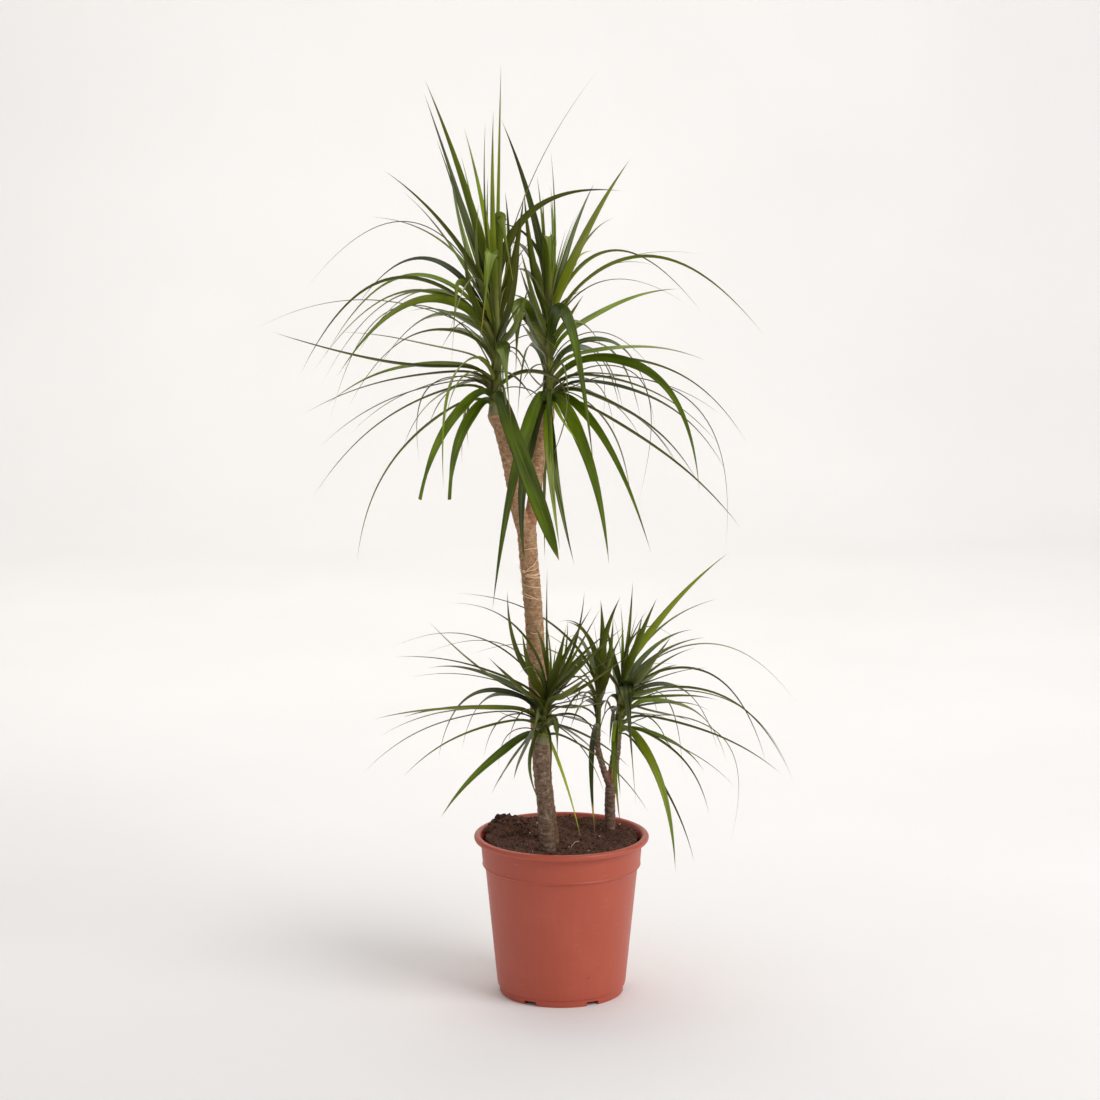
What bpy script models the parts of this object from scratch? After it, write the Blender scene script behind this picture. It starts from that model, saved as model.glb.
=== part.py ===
"""Potted dracaena: three canes with five leafy crowns in a terracotta-coloured plastic grower's pot.

Metres, +Z up. The origin is the middle of the pot's underside, on the surface it stands on.
The front of the plant faces -Y, and +X is to the right.
"""

import math
import random

import bmesh
import bpy
from mathutils import Matrix, Vector
from mathutils.bvhtree import BVHTree

# Driving dimensions
CM = 0.01
MM = 0.001
POT_HEIGHT = 194 * MM
LIP_RADIUS = 105 * MM
LIP_INNER_RADIUS = 97.4 * MM
LIP_HEIGHT = 7.5 * MM
COLLAR_TOP_RADIUS = 96.5 * MM
COLLAR_FOOT_RADIUS = 94.5 * MM
COLLAR_FOOT_HEIGHT = 156 * MM
SHOULDER_RADIUS = 91.5 * MM
WALL_FOOT_RADIUS = 77 * MM
WALL = 2 * MM
FOOT_RADIUS = 75 * MM
FOOT_WIDTH = 7 * MM
FOOT_HEIGHT = 9 * MM
FOOT_DISC_RADIUS = 29 * MM
FLOOR = 2 * MM
NOTCHES = 6
NOTCH_WIDTH = 16 * MM
NOTCH_HEIGHT = 5 * MM
DRAIN_RADIUS = 5 * MM
DRAIN_CIRCLE = 49 * MM
DRAIN_TURN = math.radians(10)
POT_SIDES = 40

SOIL_LEVEL = 182 * MM
SOIL_SIDES = 32
SOIL_RINGS = 7
SOIL_RELIEF = 1.3 * MM
HEAP_HEIGHT = 6 * MM
HEAP_PLACE = Vector((-55 * MM, 30 * MM))
HEAP_SPREAD = 35 * MM
CLEARANCE = 0.3 * MM
SHORTEST_EDGE = 0.01 * MM

CANE_SIDES = 12
SCAR_SPACING = 26 * MM
SCAR_SWELL = 0.05
BURIED = 55 * MM
CROWN_COLLAR = 5 * MM
STEM_SIDES = 8
STEM_TAPER = 0.6

KEEL = 1.4 * MM
TIP_KEEL = 0.7 * MM
BLADE_STATIONS = (0, 0.22, 0.42, 0.58, 0.78, 1)
BLADE_WIDTHS = (0.6, 0.85, 1, 0.97, 0.86, 0.68, 0.42, 0)
OUTER_STATION = 2
FOLD_WEIGHT = 3.5
LOWEST_RISE = -0.6
RANGE_OF_RISE = 2.1

# The layout of canes and leaves is drawn in centimetres on the upright plane through the pot's axis,
# as seen from this point. A leaf that grows forward or back is moved along its line of sight.
EYE = Vector((0, -3.49, 1.13))

# How a blade shows itself: (width in mm, share by which its face is turned to the front)
BROAD = (17.5, 0.9)
MEDIUM = (14.5, 0.65)
NARROW = (11.5, 0.35)
FINE = (8, 0.3)

# A leaf: (middle right, middle up, tip right, tip up, growth towards the front, how it shows).
# The first four are centimetres of the layout, and growth runs from -1, straight back, to 1.
LEFT_ARCHING = (
    (-11.7, 97.6, -15.8, 108.7, 0.2, BROAD),
    (-12.4, 96.6, -15.9, 107.2, -0.3, MEDIUM),
    (-11.6, 91.3, -12.9, 98.5, -0.6, MEDIUM),
    (-9, 93.1, -11.3, 103.2, -0.3, MEDIUM),
    (-8.8, 91.3, -8.8, 104.2, 0.2, FINE),
    (-7.3, 96, -7, 110.6, 0, FINE),
    (-8, 91.9, -7.9, 105.3, 0.5, NARROW),
    (-9.5, 90.1, -11.7, 100.2, -0.6, NARROW),
    (-18.8, 92.2, -30, 84.3, 0.1, NARROW),
    (-13.9, 89.9, -22.4, 92.9, -0.5, NARROW),
    (-13.3, 91.3, -20.6, 98.3, 0.4, MEDIUM),
    (-13, 89.5, -18.6, 96, -0.8, NARROW),
    (-22.3, 83.1, -35.6, 80, 0.3, FINE),
    (-20.5, 76.6, -33.9, 79.6, 0.35, BROAD),
    (-19.4, 85.5, -30.7, 74.3, 0.2, MEDIUM),
    (-17, 85.9, -27.6, 76.8, -0.2, MEDIUM),
    (-17.3, 78.2, -26.1, 79.5, -0.7, NARROW),
    (-17, 83.9, -28.1, 73.4, 0.5, MEDIUM),
    (-15.9, 83.1, -26.3, 74.3, 0.7, BROAD),
    (-16.5, 79.2, -25.1, 70.5, 0.6, MEDIUM),
    (-18.2, 74, -30.3, 69.9, 0.3, MEDIUM),
    (-18.2, 75.3, -27.6, 70.9, -0.4, MEDIUM),
    (-18.4, 72.1, -28.5, 65.9, 0.4, NARROW),
    (-17.6, 70.7, -29.3, 60, 0.5, MEDIUM),
    (-18.2, 66, -24.2, 52.1, 0.5, MEDIUM),
    (-14.2, 71.9, -18.6, 66, -0.8, MEDIUM),
    (-13, 68.9, -16.7, 59.8, 0.8, BROAD),
    (-11.4, 68.2, -13.2, 59.8, 0.6, MEDIUM),
    (-12.4, 74.3, -13.9, 61.1, 0.9, MEDIUM),
    (-12.6, 81.3, -18, 81.9, 0.9, MEDIUM),
    (-2, 94.5, 7, 95.9, 0.3, MEDIUM),
    (-3.5, 96.9, 4.3, 109.9, 0, FINE),
    (-5.5, 66.6, -0.3, 52.5, 0.5, BROAD),
    (0, 73.1, -2, 62.9, 0.5, MEDIUM),
    (-10.4, 71.9, -11.7, 63.8, 0.3, NARROW),
)
LEFT_FOLDED = (
    (-12.2, 85.9, -12.9, 75.4, 0.5, NARROW),
    (-8.2, 89.5, -9.7, 77.1, 0.7, BROAD),
    (-7.2, 93.9, -4.9, 83, 0.35, NARROW),
    (-6.8, 77.8, -5.9, 68.5, 0.5, BROAD),
)
RIGHT_ARCHING = (
    (-2.9, 91.2, -7, 104.1, -0.2, MEDIUM),
    (2.7, 90.7, 7.9, 99.6, 0.5, BROAD),
    (0.9, 89.7, 3.8, 96.9, -0.6, MEDIUM),
    (-0.8, 90.1, -1.3, 100.6, -0.4, FINE),
    (-2, 88.9, -2.9, 97.9, -0.8, NARROW),
    (6.1, 88.8, 16.5, 81.6, 0.3, MEDIUM),
    (9.2, 88, 23.5, 79.3, 0.1, MEDIUM),
    (4.2, 86.5, 11, 87.2, -0.7, NARROW),
    (6.1, 82.5, 13.7, 84.6, -0.6, MEDIUM),
    (2.1, 88.9, 6, 92.8, -0.9, NARROW),
    (5.9, 78, 11, 68.2, -0.7, MEDIUM),
    (7.9, 77.6, 17.1, 76.1, -0.5, MEDIUM),
    (10.2, 74.6, 16.2, 60.8, 0.6, BROAD),
    (12.5, 75, 21.8, 66.4, 0.2, MEDIUM),
    (9.2, 73.9, 18.9, 69.7, -0.4, NARROW),
    (9.6, 72.8, 18.6, 66.1, 0.4, MEDIUM),
    (10.8, 71.5, 19.6, 62.6, -0.3, MEDIUM),
    (9, 69.3, 16, 61.9, 0.6, MEDIUM),
    (10.8, 65.9, 21.2, 56.3, 0.3, MEDIUM),
    (1.4, 77, 3.5, 63.3, 0.8, BROAD),
    (2.7, 69.6, 10.6, 53.3, 0.4, MEDIUM),
    (2.7, 65.4, 5.6, 52, 0.7, MEDIUM),
    (5, 64.3, 6.4, 48.9, -0.4, MEDIUM),
    (4.4, 69.6, 8.2, 59.3, -0.7, NARROW),
    (0.1, 69, 2.1, 66.2, 0.9, NARROW),
    (-4.6, 65.8, -8.2, 46.5, 0.5, BROAD),
    (-4.4, 62.9, -4.3, 52.1, 0.7, MEDIUM),
    (-1.5, 65.1, -0.2, 53.7, 0.6, MEDIUM),
    (-0.8, 63.1, 1.5, 52, 0.3, NARROW),
    (-2, 63, -2, 52.5, -0.5, FINE),
)
RIGHT_FOLDED = (
    (-1.4, 91.2, -0.7, 87.5, 0.2, MEDIUM),
    (-4.5, 82.5, -5.3, 75.3, 0.4, MEDIUM),
)
MIDDLE_ARCHING = (
    (-9.1, 27.6, -14.5, 21.2, 0.4, BROAD),
    (-5.6, 28.6, -8.4, 24.2, 0.9, MEDIUM),
    (-4.5, 29.2, -5.7, 25.9, 1, MEDIUM),
    (-11.5, 31.4, -19.1, 26.1, 0.3, MEDIUM),
    (-9.7, 36.4, -14.8, 28, -0.4, MEDIUM),
    (-14.5, 32.7, -23.9, 26.5, 0.1, NARROW),
    (-12.7, 34.5, -22.5, 33.3, 0.2, MEDIUM),
    (-13.3, 34.2, -21.9, 31.1, -0.3, NARROW),
    (-11.5, 40, -19.9, 40.9, 0.2, MEDIUM),
    (-9.7, 39.4, -15.8, 45.3, -0.3, NARROW),
    (-10.3, 38.5, -18.2, 38.4, 0.4, NARROW),
    (-6.2, 45.1, -13.4, 47.4, -0.6, NARROW),
    (-5, 40.6, -6.4, 49, 0.3, MEDIUM),
    (-3.2, 39.5, -5.3, 38.6, 0.6, FINE),
    (1.5, 40, 5.7, 42.7, 0.5, BROAD),
    (1.2, 39.1, 4, 41.8, -0.6, MEDIUM),
    (0.1, 39.4, 0.7, 45.5, -0.5, NARROW),
    (1.2, 41.2, 2.7, 49, -0.2, NARROW),
    (-0.2, 27.3, 2.3, 18.8, 0.8, MEDIUM),
    (-3.8, 28, -2.6, 23.1, 0.7, NARROW),
    (1.8, 30.4, 5.2, 24.1, 0.6, MEDIUM),
    (4.3, 28.6, 10.5, 21.8, 0.4, MEDIUM),
    (-1.7, 40.6, -1.7, 51.9, 0.1, FINE),
)
MIDDLE_FOLDED = (
    (-0.5, 32.8, -0.5, 27.4, 0.7, NARROW),
    (-1.9, 35.2, -4.3, 29.9, 0.8, MEDIUM),
)
SMALL_ARCHING = (
    (-2.6, 45.7, -12.4, 48.6, 0.5, MEDIUM),
    (2.1, 44.7, -0.5, 45.1, 0.3, NARROW),
    (5.1, 43, 7, 48.3, 0.2, MEDIUM),
    (3.6, 28.6, 4.1, 18.4, 0.8, MEDIUM),
)
SMALL_FOLDED = (
    (4.7, 47.6, 3.6, 46.8, 0, MEDIUM),
    (5.7, 45.7, 6.9, 43.2, 0.5, NARROW),
)
LOWER_RIGHT_ARCHING = (
    (11.6, 45.1, 19.7, 53.5, 0.3, BROAD),
    (11.9, 44.5, 18.6, 48, -0.3, NARROW),
    (11.6, 41.2, 17.2, 43.3, -0.4, MEDIUM),
    (18.1, 42.3, 28.2, 35.1, 0, FINE),
    (11.4, 39.7, 16, 42.1, -0.6, NARROW),
    (12.8, 38.7, 17.7, 39.6, 0.5, NARROW),
    (16.4, 39, 24.6, 27.5, 0.3, MEDIUM),
    (18.1, 36.3, 27.3, 26.7, 0.1, MEDIUM),
    (19.9, 35.4, 28, 24.8, -0.1, FINE),
    (13.4, 36.1, 18.6, 35.7, 0.5, MEDIUM),
    (13, 35.3, 17.8, 34.3, -0.5, NARROW),
    (11.9, 33.9, 15.4, 33.1, 0.8, MEDIUM),
    (16.9, 31.8, 26.5, 26.5, 0.2, MEDIUM),
    (14, 28.8, 17.7, 21.6, 0.4, MEDIUM),
    (15.8, 29, 20.9, 24.9, -0.2, NARROW),
    (13.4, 30.4, 17.1, 26.9, -0.5, MEDIUM),
    (11, 27.4, 13.7, 14.6, 0.5, BROAD),
    (12.2, 25, 16, 15.6, 0.2, NARROW),
    (6.3, 29.2, 7.1, 19.9, 0.7, MEDIUM),
    (7.9, 43, 8.4, 50.1, -0.2, NARROW),
    (8.5, 41.2, 9.6, 46.2, -0.5, MEDIUM),
    (9, 42.4, 11.3, 48.1, 0.4, MEDIUM),
    (10.4, 44.6, 13.9, 42.7, 0.2, FINE),
)
LOWER_RIGHT_FOLDED = ((7.7, 37.4, 8.9, 22.9, 0.6, BROAD),)

# A crown: where its leafy stem starts and ends, its thickness, the length of its leaves,
# the leaves that the front view shows, and how many more grow away from the front.
# Starts and ends are (right, depth, up) in centimetres, depth being positive towards the back.
CROWNS = {
    "crown_upper_left": dict(
        foot=(-7.8, -1.5, 70), top=(-7.5, -1.5, 80.5), radius=8 * MM, length=36 * CM,
        arching=LEFT_ARCHING, folded=LEFT_FOLDED, unseen=15, seed=11,
    ),
    "crown_upper_right": dict(
        foot=(-1.6, 1.5, 70), top=(-1.5, 1.5, 80.5), radius=7.5 * MM, length=36 * CM,
        arching=RIGHT_ARCHING, folded=RIGHT_FOLDED, unseen=17, seed=22,
    ),
    "crown_middle": dict(
        foot=(-2.4, -5, 30.4), top=(-1.4, -5, 36.5), radius=7.5 * MM, length=27 * CM,
        arching=MIDDLE_ARCHING, folded=MIDDLE_FOLDED, unseen=12, seed=13,
    ),
    "crown_right_small": dict(
        foot=(4.3, 3.5, 31.6), top=(4.5, 3.5, 36), radius=3.6 * MM, length=25 * CM,
        arching=SMALL_ARCHING, folded=SMALL_FOLDED, unseen=7, seed=14,
    ),
    "crown_right": dict(
        foot=(6.6, 4, 31), top=(7.2, 4, 37.5), radius=5.5 * MM, length=28 * CM,
        arching=LOWER_RIGHT_ARCHING, folded=LOWER_RIGHT_FOLDED, unseen=12, seed=15,
    ),
}

# A stem: (right, depth, up, thickness in mm) at each bend, in the layout's centimetres.
TALL_STEM = ((-1.1, 0.5, 21, 23.5), (-2.1, 0.5, 27, 22.5), (-2.8, 0.3, 37, 22), (-3.3, 0, 46, 21.5),
             (-3.9, 0, 53, 22), (-4.2, 0, 57, 23))
LEFT_BRANCH = ((-4.2, 0, 55.5, 17), (-5.1, -0.5, 58.5, 17), (-6.1, -1, 64, 17), (-7.2, -1.4, 68.3, 16))
RIGHT_BRANCH = ((-4, 0.2, 56, 16), (-3.3, 0.5, 59.5, 16), (-2.8, 1, 64, 15.5), (-2, 1.4, 68, 15))
MIDDLE_STEM = ((-1.8, -5, 19.5, 18), (-2.1, -5, 24, 17), (-2.4, -5, 28.5, 16))
RIGHT_STEM = ((5.8, 3.8, 21, 13), (5.8, 3.8, 23.5, 12.5), (5.9, 3.9, 25.6, 13))
RIGHT_THICK_BRANCH = ((5.9, 3.9, 25, 11.5), (6.2, 4, 27.5, 11.5), (6.5, 4, 29.5, 11))
RIGHT_THIN_BRANCH = ((5.8, 3.8, 25, 8), (5.1, 3.6, 27, 7.5), (4.4, 3.5, 29.5, 7.2))

RAFFIA_TOP = 51.4 * CM
RAFFIA_DROP = 32 * MM
RAFFIA_TURNS = 2.4
RAFFIA_START = math.radians(-122)
RAFFIA_THICKNESS = 1.6 * MM
RAFFIA_STEPS = 16
RAFFIA_SIDES = 8
KNOT_RADIUS = 2.4 * MM

# Every so many leaves of the layout, one is followed by a leaf behind it.
BEHIND_STEP = 7
BEHIND_SHRINK = (0.6, 0.88)
BEHIND_GROWTH = (-1, -0.75)

# Shares of a leaf's length by which it may be swung in depth, in the order they are tried.
SWINGS = (0, 0.06, -0.06, 0.12, -0.12, 0.2, -0.2, 0.28, -0.28, 0.36, -0.36, 0.45, -0.45, 0.6, -0.6)


def srgb(code):
    """The linear colour of a hex code."""
    parts = (int(code[i:i + 2], 16) / 255 for i in (1, 3, 5))
    return [c / 12.92 if c <= 0.04045 else ((c + 0.055) / 1.055) ** 2.4 for c in parts] + [1]


def material(name, code, roughness):
    """A plain Principled material."""
    made = bpy.data.materials.new(name)
    made.use_nodes = True
    shader = made.node_tree.nodes["Principled BSDF"]
    shader.inputs["Base Color"].default_value = srgb(code)
    shader.inputs["Roughness"].default_value = roughness
    shader.inputs["Metallic"].default_value = 0
    return made


def link(name, mesh, collection, finish=None):
    """A new object with this mesh in the collection."""
    made = bpy.data.objects.new(name, mesh)
    collection.objects.link(made)
    if finish:
        mesh.materials.clear()
        mesh.materials.append(finish)
    return made


def hide(cutter):
    """Marks an object as a helper that isn't part of the plant."""
    cutter.hide_render = True
    cutter.display_type = "WIRE"


def evaluated_mesh(obj):
    """The object's mesh with its modifiers applied."""
    graph = bpy.context.evaluated_depsgraph_get()
    return bpy.data.meshes.new_from_object(obj.evaluated_get(graph), depsgraph=graph)


def smooth(mesh, angle=40):
    """Shades the mesh smooth, with its sharper edges kept."""
    mesh.shade_smooth()
    mesh.set_sharp_from_angle(angle=math.radians(angle))


def along(values, share):
    """Reads a list of evenly spaced values at a share of its length."""
    place = share * (len(values) - 1)
    low = min(int(place), len(values) - 2)
    return values[low] + (values[low + 1] - values[low]) * (place - low)


def arc(centre, radius, start, end, count):
    """Points on an arc in the profile's plane, angles in degrees."""
    angles = [math.radians(start + (end - start) * i / (count - 1)) for i in range(count)]
    return [(centre[0] + radius * math.cos(a), centre[1] + radius * math.sin(a)) for a in angles]


def turned(name, profile, sides, collection, finish):
    """A solid turned from a profile of (radius, height) whose ends lie on the axis."""
    mesh = bpy.data.meshes.new(name)
    mesh.from_pydata([(r, 0, z) for r, z in profile], [(i, i + 1) for i in range(len(profile) - 1)], [])
    made = link(name, mesh, collection)
    screw = made.modifiers.new("Turn", "SCREW")
    screw.steps = screw.render_steps = sides
    screw.use_merge_vertices = True
    screw.merge_threshold = 0.00001
    made.data = evaluated_mesh(made)
    made.modifiers.clear()
    made.data.materials.append(finish)
    return made


def cut(obj, cutters):
    """Cuts each of these shapes from the object."""
    for cutter in cutters:
        hide(cutter)
        boolean = obj.modifiers.new("Cut " + cutter.name, "BOOLEAN")
        boolean.operation = "DIFFERENCE"
        boolean.object = cutter


def inner_radius(height):
    """The pot's inside radius at a height."""
    share = (height - FOOT_HEIGHT) / (COLLAR_FOOT_HEIGHT - FOOT_HEIGHT)
    return WALL_FOOT_RADIUS + (SHOULDER_RADIUS - WALL_FOOT_RADIUS) * share - WALL


def pot_profile():
    """The pot's section, from the middle of its floor over the lip to the middle of its underside."""
    floor = FOOT_HEIGHT + FLOOR / 2
    inside = COLLAR_FOOT_HEIGHT + WALL
    lip_round = LIP_HEIGHT / 2
    lip_low = POT_HEIGHT - LIP_HEIGHT
    foot_inside = FOOT_RADIUS - FOOT_WIDTH
    recess = floor - FLOOR
    return [
        (0, floor),
        (inner_radius(floor) - WALL, floor),
        (inner_radius(floor + WALL), floor + WALL),
        (inner_radius(inside - WALL), inside - WALL),
        (COLLAR_FOOT_RADIUS - WALL, inside),
        (COLLAR_TOP_RADIUS - WALL, lip_low),
        (LIP_INNER_RADIUS, POT_HEIGHT - MM),
        (LIP_INNER_RADIUS + MM, POT_HEIGHT),
        *arc((LIP_RADIUS - lip_round, POT_HEIGHT - lip_round), lip_round, 90, -90, 5),
        (COLLAR_TOP_RADIUS, lip_low),
        (COLLAR_FOOT_RADIUS, COLLAR_FOOT_HEIGHT + MM),
        (COLLAR_FOOT_RADIUS - MM, COLLAR_FOOT_HEIGHT),
        (SHOULDER_RADIUS, COLLAR_FOOT_HEIGHT),
        (WALL_FOOT_RADIUS, FOOT_HEIGHT + MM),
        (WALL_FOOT_RADIUS - MM, FOOT_HEIGHT),
        (FOOT_RADIUS, FOOT_HEIGHT),
        (FOOT_RADIUS - MM, 0),
        (foot_inside, 0),
        (foot_inside, recess),
        (FOOT_DISC_RADIUS + MM, recess),
        (FOOT_DISC_RADIUS, 0),
        (0, 0),
    ]


def block(name, size, place, turn, collection):
    """A box of this size, turned about the upright axis through the origin."""
    shape = bmesh.new()
    bmesh.ops.create_cube(shape, size=1)
    matrix = Matrix.Rotation(turn, 4, "Z") @ Matrix.Translation(place) @ Matrix.Diagonal((*size, 1))
    bmesh.ops.transform(shape, matrix=matrix, verts=shape.verts)
    mesh = bpy.data.meshes.new(name)
    shape.to_mesh(mesh)
    return link(name, mesh, collection)


def rod(name, start, end, radii, sides, collection):
    """A straight round rod or cone from one point to another."""
    start, end = Vector(start), Vector(end)
    line = end - start
    shape = bmesh.new()
    bmesh.ops.create_cone(
        shape, cap_ends=True, segments=sides, radius1=radii[0], radius2=radii[1], depth=line.length,
    )
    matrix = Matrix.Translation((start + end) / 2) @ line.to_track_quat("Z", "Y").to_matrix().to_4x4()
    bmesh.ops.transform(shape, matrix=matrix, verts=shape.verts)
    mesh = bpy.data.meshes.new(name)
    shape.to_mesh(mesh)
    return link(name, mesh, collection)


def make_pot(plant, cutters, finish):
    """The pot, with drain holes in its floor and notches through its foot ring."""
    pot = turned("pot", pot_profile(), POT_SIDES, plant, finish)
    shapes = []
    for i in range(NOTCHES):
        turn = math.tau * (i + 0.5) / NOTCHES - math.pi / 2
        size = (4 * FOOT_WIDTH, NOTCH_WIDTH, 2 * NOTCH_HEIGHT)
        shapes.append(block(f"notch_{i}", size, (FOOT_RADIUS, 0, 0), turn, cutters))
        aside = turn + DRAIN_TURN
        place = Vector((math.cos(aside), math.sin(aside), 0)) * DRAIN_CIRCLE
        top = place + Vector((0, 0, 2 * FOOT_HEIGHT))
        low = place + Vector((0, 0, -FOOT_HEIGHT))
        shapes.append(rod(f"drain_{i}", low, top, (DRAIN_RADIUS,) * 2, 12, cutters))
    cut(pot, shapes)
    pot.data = evaluated_mesh(pot)
    pot.modifiers.clear()
    smooth(pot.data)
    return pot


def soil_height(x, y):
    """The uneven surface of the peat: a heap at the back left, and small humps from crossed waves."""
    heap = HEAP_HEIGHT * math.exp(-(Vector((x, y)) - HEAP_PLACE).length_squared / HEAP_SPREAD ** 2)
    broad = math.sin(170 * x + 1.1) * math.sin(150 * y + 0.4)
    small = 0.6 * math.sin(310 * x + 260 * y)
    return SOIL_LEVEL + heap + SOIL_RELIEF * (broad + small)


def make_soil(plant, cutters, finish, holes):
    """The peat that fills the pot, with a plain hole for each cane."""
    low = FOOT_HEIGHT + FLOOR / 2 + CLEARANCE
    rim = inner_radius(COLLAR_FOOT_HEIGHT) - CLEARANCE
    surface = [(i / SOIL_RINGS * rim, SOIL_LEVEL) for i in range(SOIL_RINGS + 1)]
    wall_end = (inner_radius(low + 2 * WALL) - WALL, low + WALL)
    floor_edge = (inner_radius(low) - 2 * WALL, low)
    soil = turned("soil", [*surface, wall_end, floor_edge, (0, low)], SOIL_SIDES, plant, finish)
    for vertex in soil.data.vertices:
        if vertex.co.z > SOIL_LEVEL - MM:
            vertex.co.z = soil_height(vertex.co.x, vertex.co.y)
    cutting = []
    for name, start, end, radius in holes:
        size = (radius + CLEARANCE) / math.cos(math.pi / CANE_SIDES)
        lead = (end - start).normalized()
        low_end, high_end = start - lead * CLEARANCE, end + lead * 2 * CM
        cutting.append(rod(name, low_end, high_end, (size, size), CANE_SIDES, cutters))
    cut(soil, cutting)
    soil.data = evaluated_mesh(soil)
    soil.modifiers.clear()
    smooth(soil.data, 60)
    return soil


def on_sight_line(right, up, depth):
    """A point of the layout, in metres, moved along its line of sight to a depth."""
    return EYE + (Vector((right, 0, up)) - EYE) * ((depth - EYE.y) / -EYE.y)


def placed(point):
    """A (right, depth, up) point in centimetres as a place in metres."""
    return on_sight_line(point[0] * CM, point[2] * CM, point[1] * CM)


def ringed(points, widths):
    """Points every half scar spacing along a bent line, thicker at each leaf scar."""
    found = []
    for (a, b), (wide_a, wide_b) in zip(zip(points, points[1:]), zip(widths, widths[1:])):
        steps = max(1, round((b - a).length / (SCAR_SPACING / 2)))
        for i in range(steps):
            found.append((a.lerp(b, i / steps), (wide_a + (wide_b - wide_a) * i / steps) / 2))
    found = [(p, r * (1 + SCAR_SWELL * (-1) ** i)) for i, (p, r) in enumerate(found)]
    return found + [(points[-1], widths[-1] / 2)]


def tube(name, points, collection, sides=CANE_SIDES):
    """A round tube through (place, radius) points, as a closed mesh."""
    curve = bpy.data.curves.new(name, "CURVE")
    curve.dimensions = "3D"
    curve.bevel_depth = 1
    curve.bevel_resolution = sides // 4 - 1
    curve.use_fill_caps = True
    spline = curve.splines.new("POLY")
    spline.points.add(len(points) - 1)
    for knot, (place, radius) in zip(spline.points, points):
        knot.co = (*place, 1)
        knot.radius = radius
    guide = bpy.data.objects.new(name + "_line", curve)
    collection.objects.link(guide)
    bpy.context.view_layer.update()
    mesh = evaluated_mesh(guide)
    bpy.data.objects.remove(guide)
    shape = bmesh.new()
    shape.from_mesh(mesh)
    bmesh.ops.remove_doubles(shape, verts=shape.verts, dist=0.000001)
    bmesh.ops.recalc_face_normals(shape, faces=shape.faces)
    shape.to_mesh(mesh)
    return link(name, mesh, collection)


def keep_main_body(mesh):
    """Keeps only the largest surface joined by plain edges, which fills sealed hollows and drops scraps.

    Edges too short to matter, which a union leaves where blades cross, are collapsed first.
    """
    shape = bmesh.new()
    shape.from_mesh(mesh)
    bmesh.ops.triangulate(shape, faces=shape.faces)
    bmesh.ops.dissolve_degenerate(shape, dist=SHORTEST_EDGE, edges=shape.edges)
    bmesh.ops.triangulate(shape, faces=shape.faces)
    waiting, bodies = set(shape.faces), []
    while waiting:
        body, front = set(), [waiting.pop()]
        while front:
            face = front.pop()
            body.add(face)
            fresh = {f for e in face.edges if len(e.link_faces) == 2 for f in e.link_faces} & waiting
            waiting -= fresh
            front += fresh
        bodies.append(body)
    main_body = max(bodies, key=len)
    bmesh.ops.delete(shape, geom=[f for f in shape.faces if f not in main_body], context="FACES")
    shape.to_mesh(mesh)


def joined(name, pieces, plant, finish):
    """One body made of these pieces by a Boolean union."""
    first, *others = pieces
    if others:
        group = bpy.data.collections.new(name + "_pieces")
        bpy.context.scene.collection.children.link(group)
        for piece in others:
            for holder in piece.users_collection:
                holder.objects.unlink(piece)
            group.objects.link(piece)
        union = first.modifiers.new("Join", "BOOLEAN")
        union.operation = "UNION"
        union.operand_type = "COLLECTION"
        union.collection = group
        union.solver = "MANIFOLD"
        first.data = evaluated_mesh(first)
        first.modifiers.clear()
        for piece in others:
            bpy.data.objects.remove(piece)
        bpy.data.collections.remove(group)
        keep_main_body(first.data)
    first.name = name
    first.data.materials.clear()
    first.data.materials.append(finish)
    smooth(first.data)
    return first


def crown_foot(crown):
    """The foot and the growing direction of a crown's leafy stem."""
    foot, top = placed(crown["foot"]), placed(crown["top"])
    return foot, (top - foot).normalized()


def branch_points(bends, crown):
    """A branch's bends, ending square just under its crown."""
    foot, lead = crown_foot(crown)
    points = [placed(bend[:3]) for bend in bends]
    widths = [bend[3] * MM for bend in bends]
    end = foot - lead * CLEARANCE
    width = 2 * crown["radius"]
    return [*points, end - lead * CROWN_COLLAR, end], [*widths, width, width]


def rooted_points(bends):
    """A cane's bends, with a straight buried length below the first."""
    points = [placed(bend[:3]) for bend in bends]
    widths = [bend[3] * MM for bend in bends]
    buried = points[0] - (points[1] - points[0]).normalized() * (points[0].z - SOIL_LEVEL + BURIED)
    return [buried, *points], [widths[0], *widths]


def cane_tube(name, points, widths, plant, buried=False):
    """A cane or branch with leaf scars above the soil."""
    if not buried:
        return tube(name, ringed(points, widths), plant)
    return tube(name, [(points[0], widths[0] / 2), *ringed(points[1:], widths[1:])], plant)


def make_canes(plant, bark, grey_bark):
    """The three canes, and the holes that they need in the soil."""
    canes, holes = {}, []
    stems = {
        "cane_tall": (
            TALL_STEM, bark, {"crown_upper_left": LEFT_BRANCH, "crown_upper_right": RIGHT_BRANCH},
        ),
        "cane_middle": (MIDDLE_STEM, grey_bark, {}),
        "cane_right": (
            RIGHT_STEM, grey_bark,
            {"crown_right": RIGHT_THICK_BRANCH, "crown_right_small": RIGHT_THIN_BRANCH},
        ),
    }
    for name, (bends, finish, branches) in stems.items():
        points, widths = rooted_points(bends)
        holes.append((name + "_hole", points[0], points[1], widths[0] / 2 * (1 + SCAR_SWELL)))
        if not branches:
            ending, ending_widths = branch_points((), CROWNS["crown_middle"])
            points += ending
            widths += ending_widths
        pieces = [cane_tube(name, points, widths, plant, buried=True)]
        for crown, branch in branches.items():
            bent, bent_widths = branch_points(branch, CROWNS[crown])
            pieces.append(cane_tube("branch_to_" + crown, bent, bent_widths, plant))
        canes[name] = joined(name, pieces, plant, finish)
    return canes, holes


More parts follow.
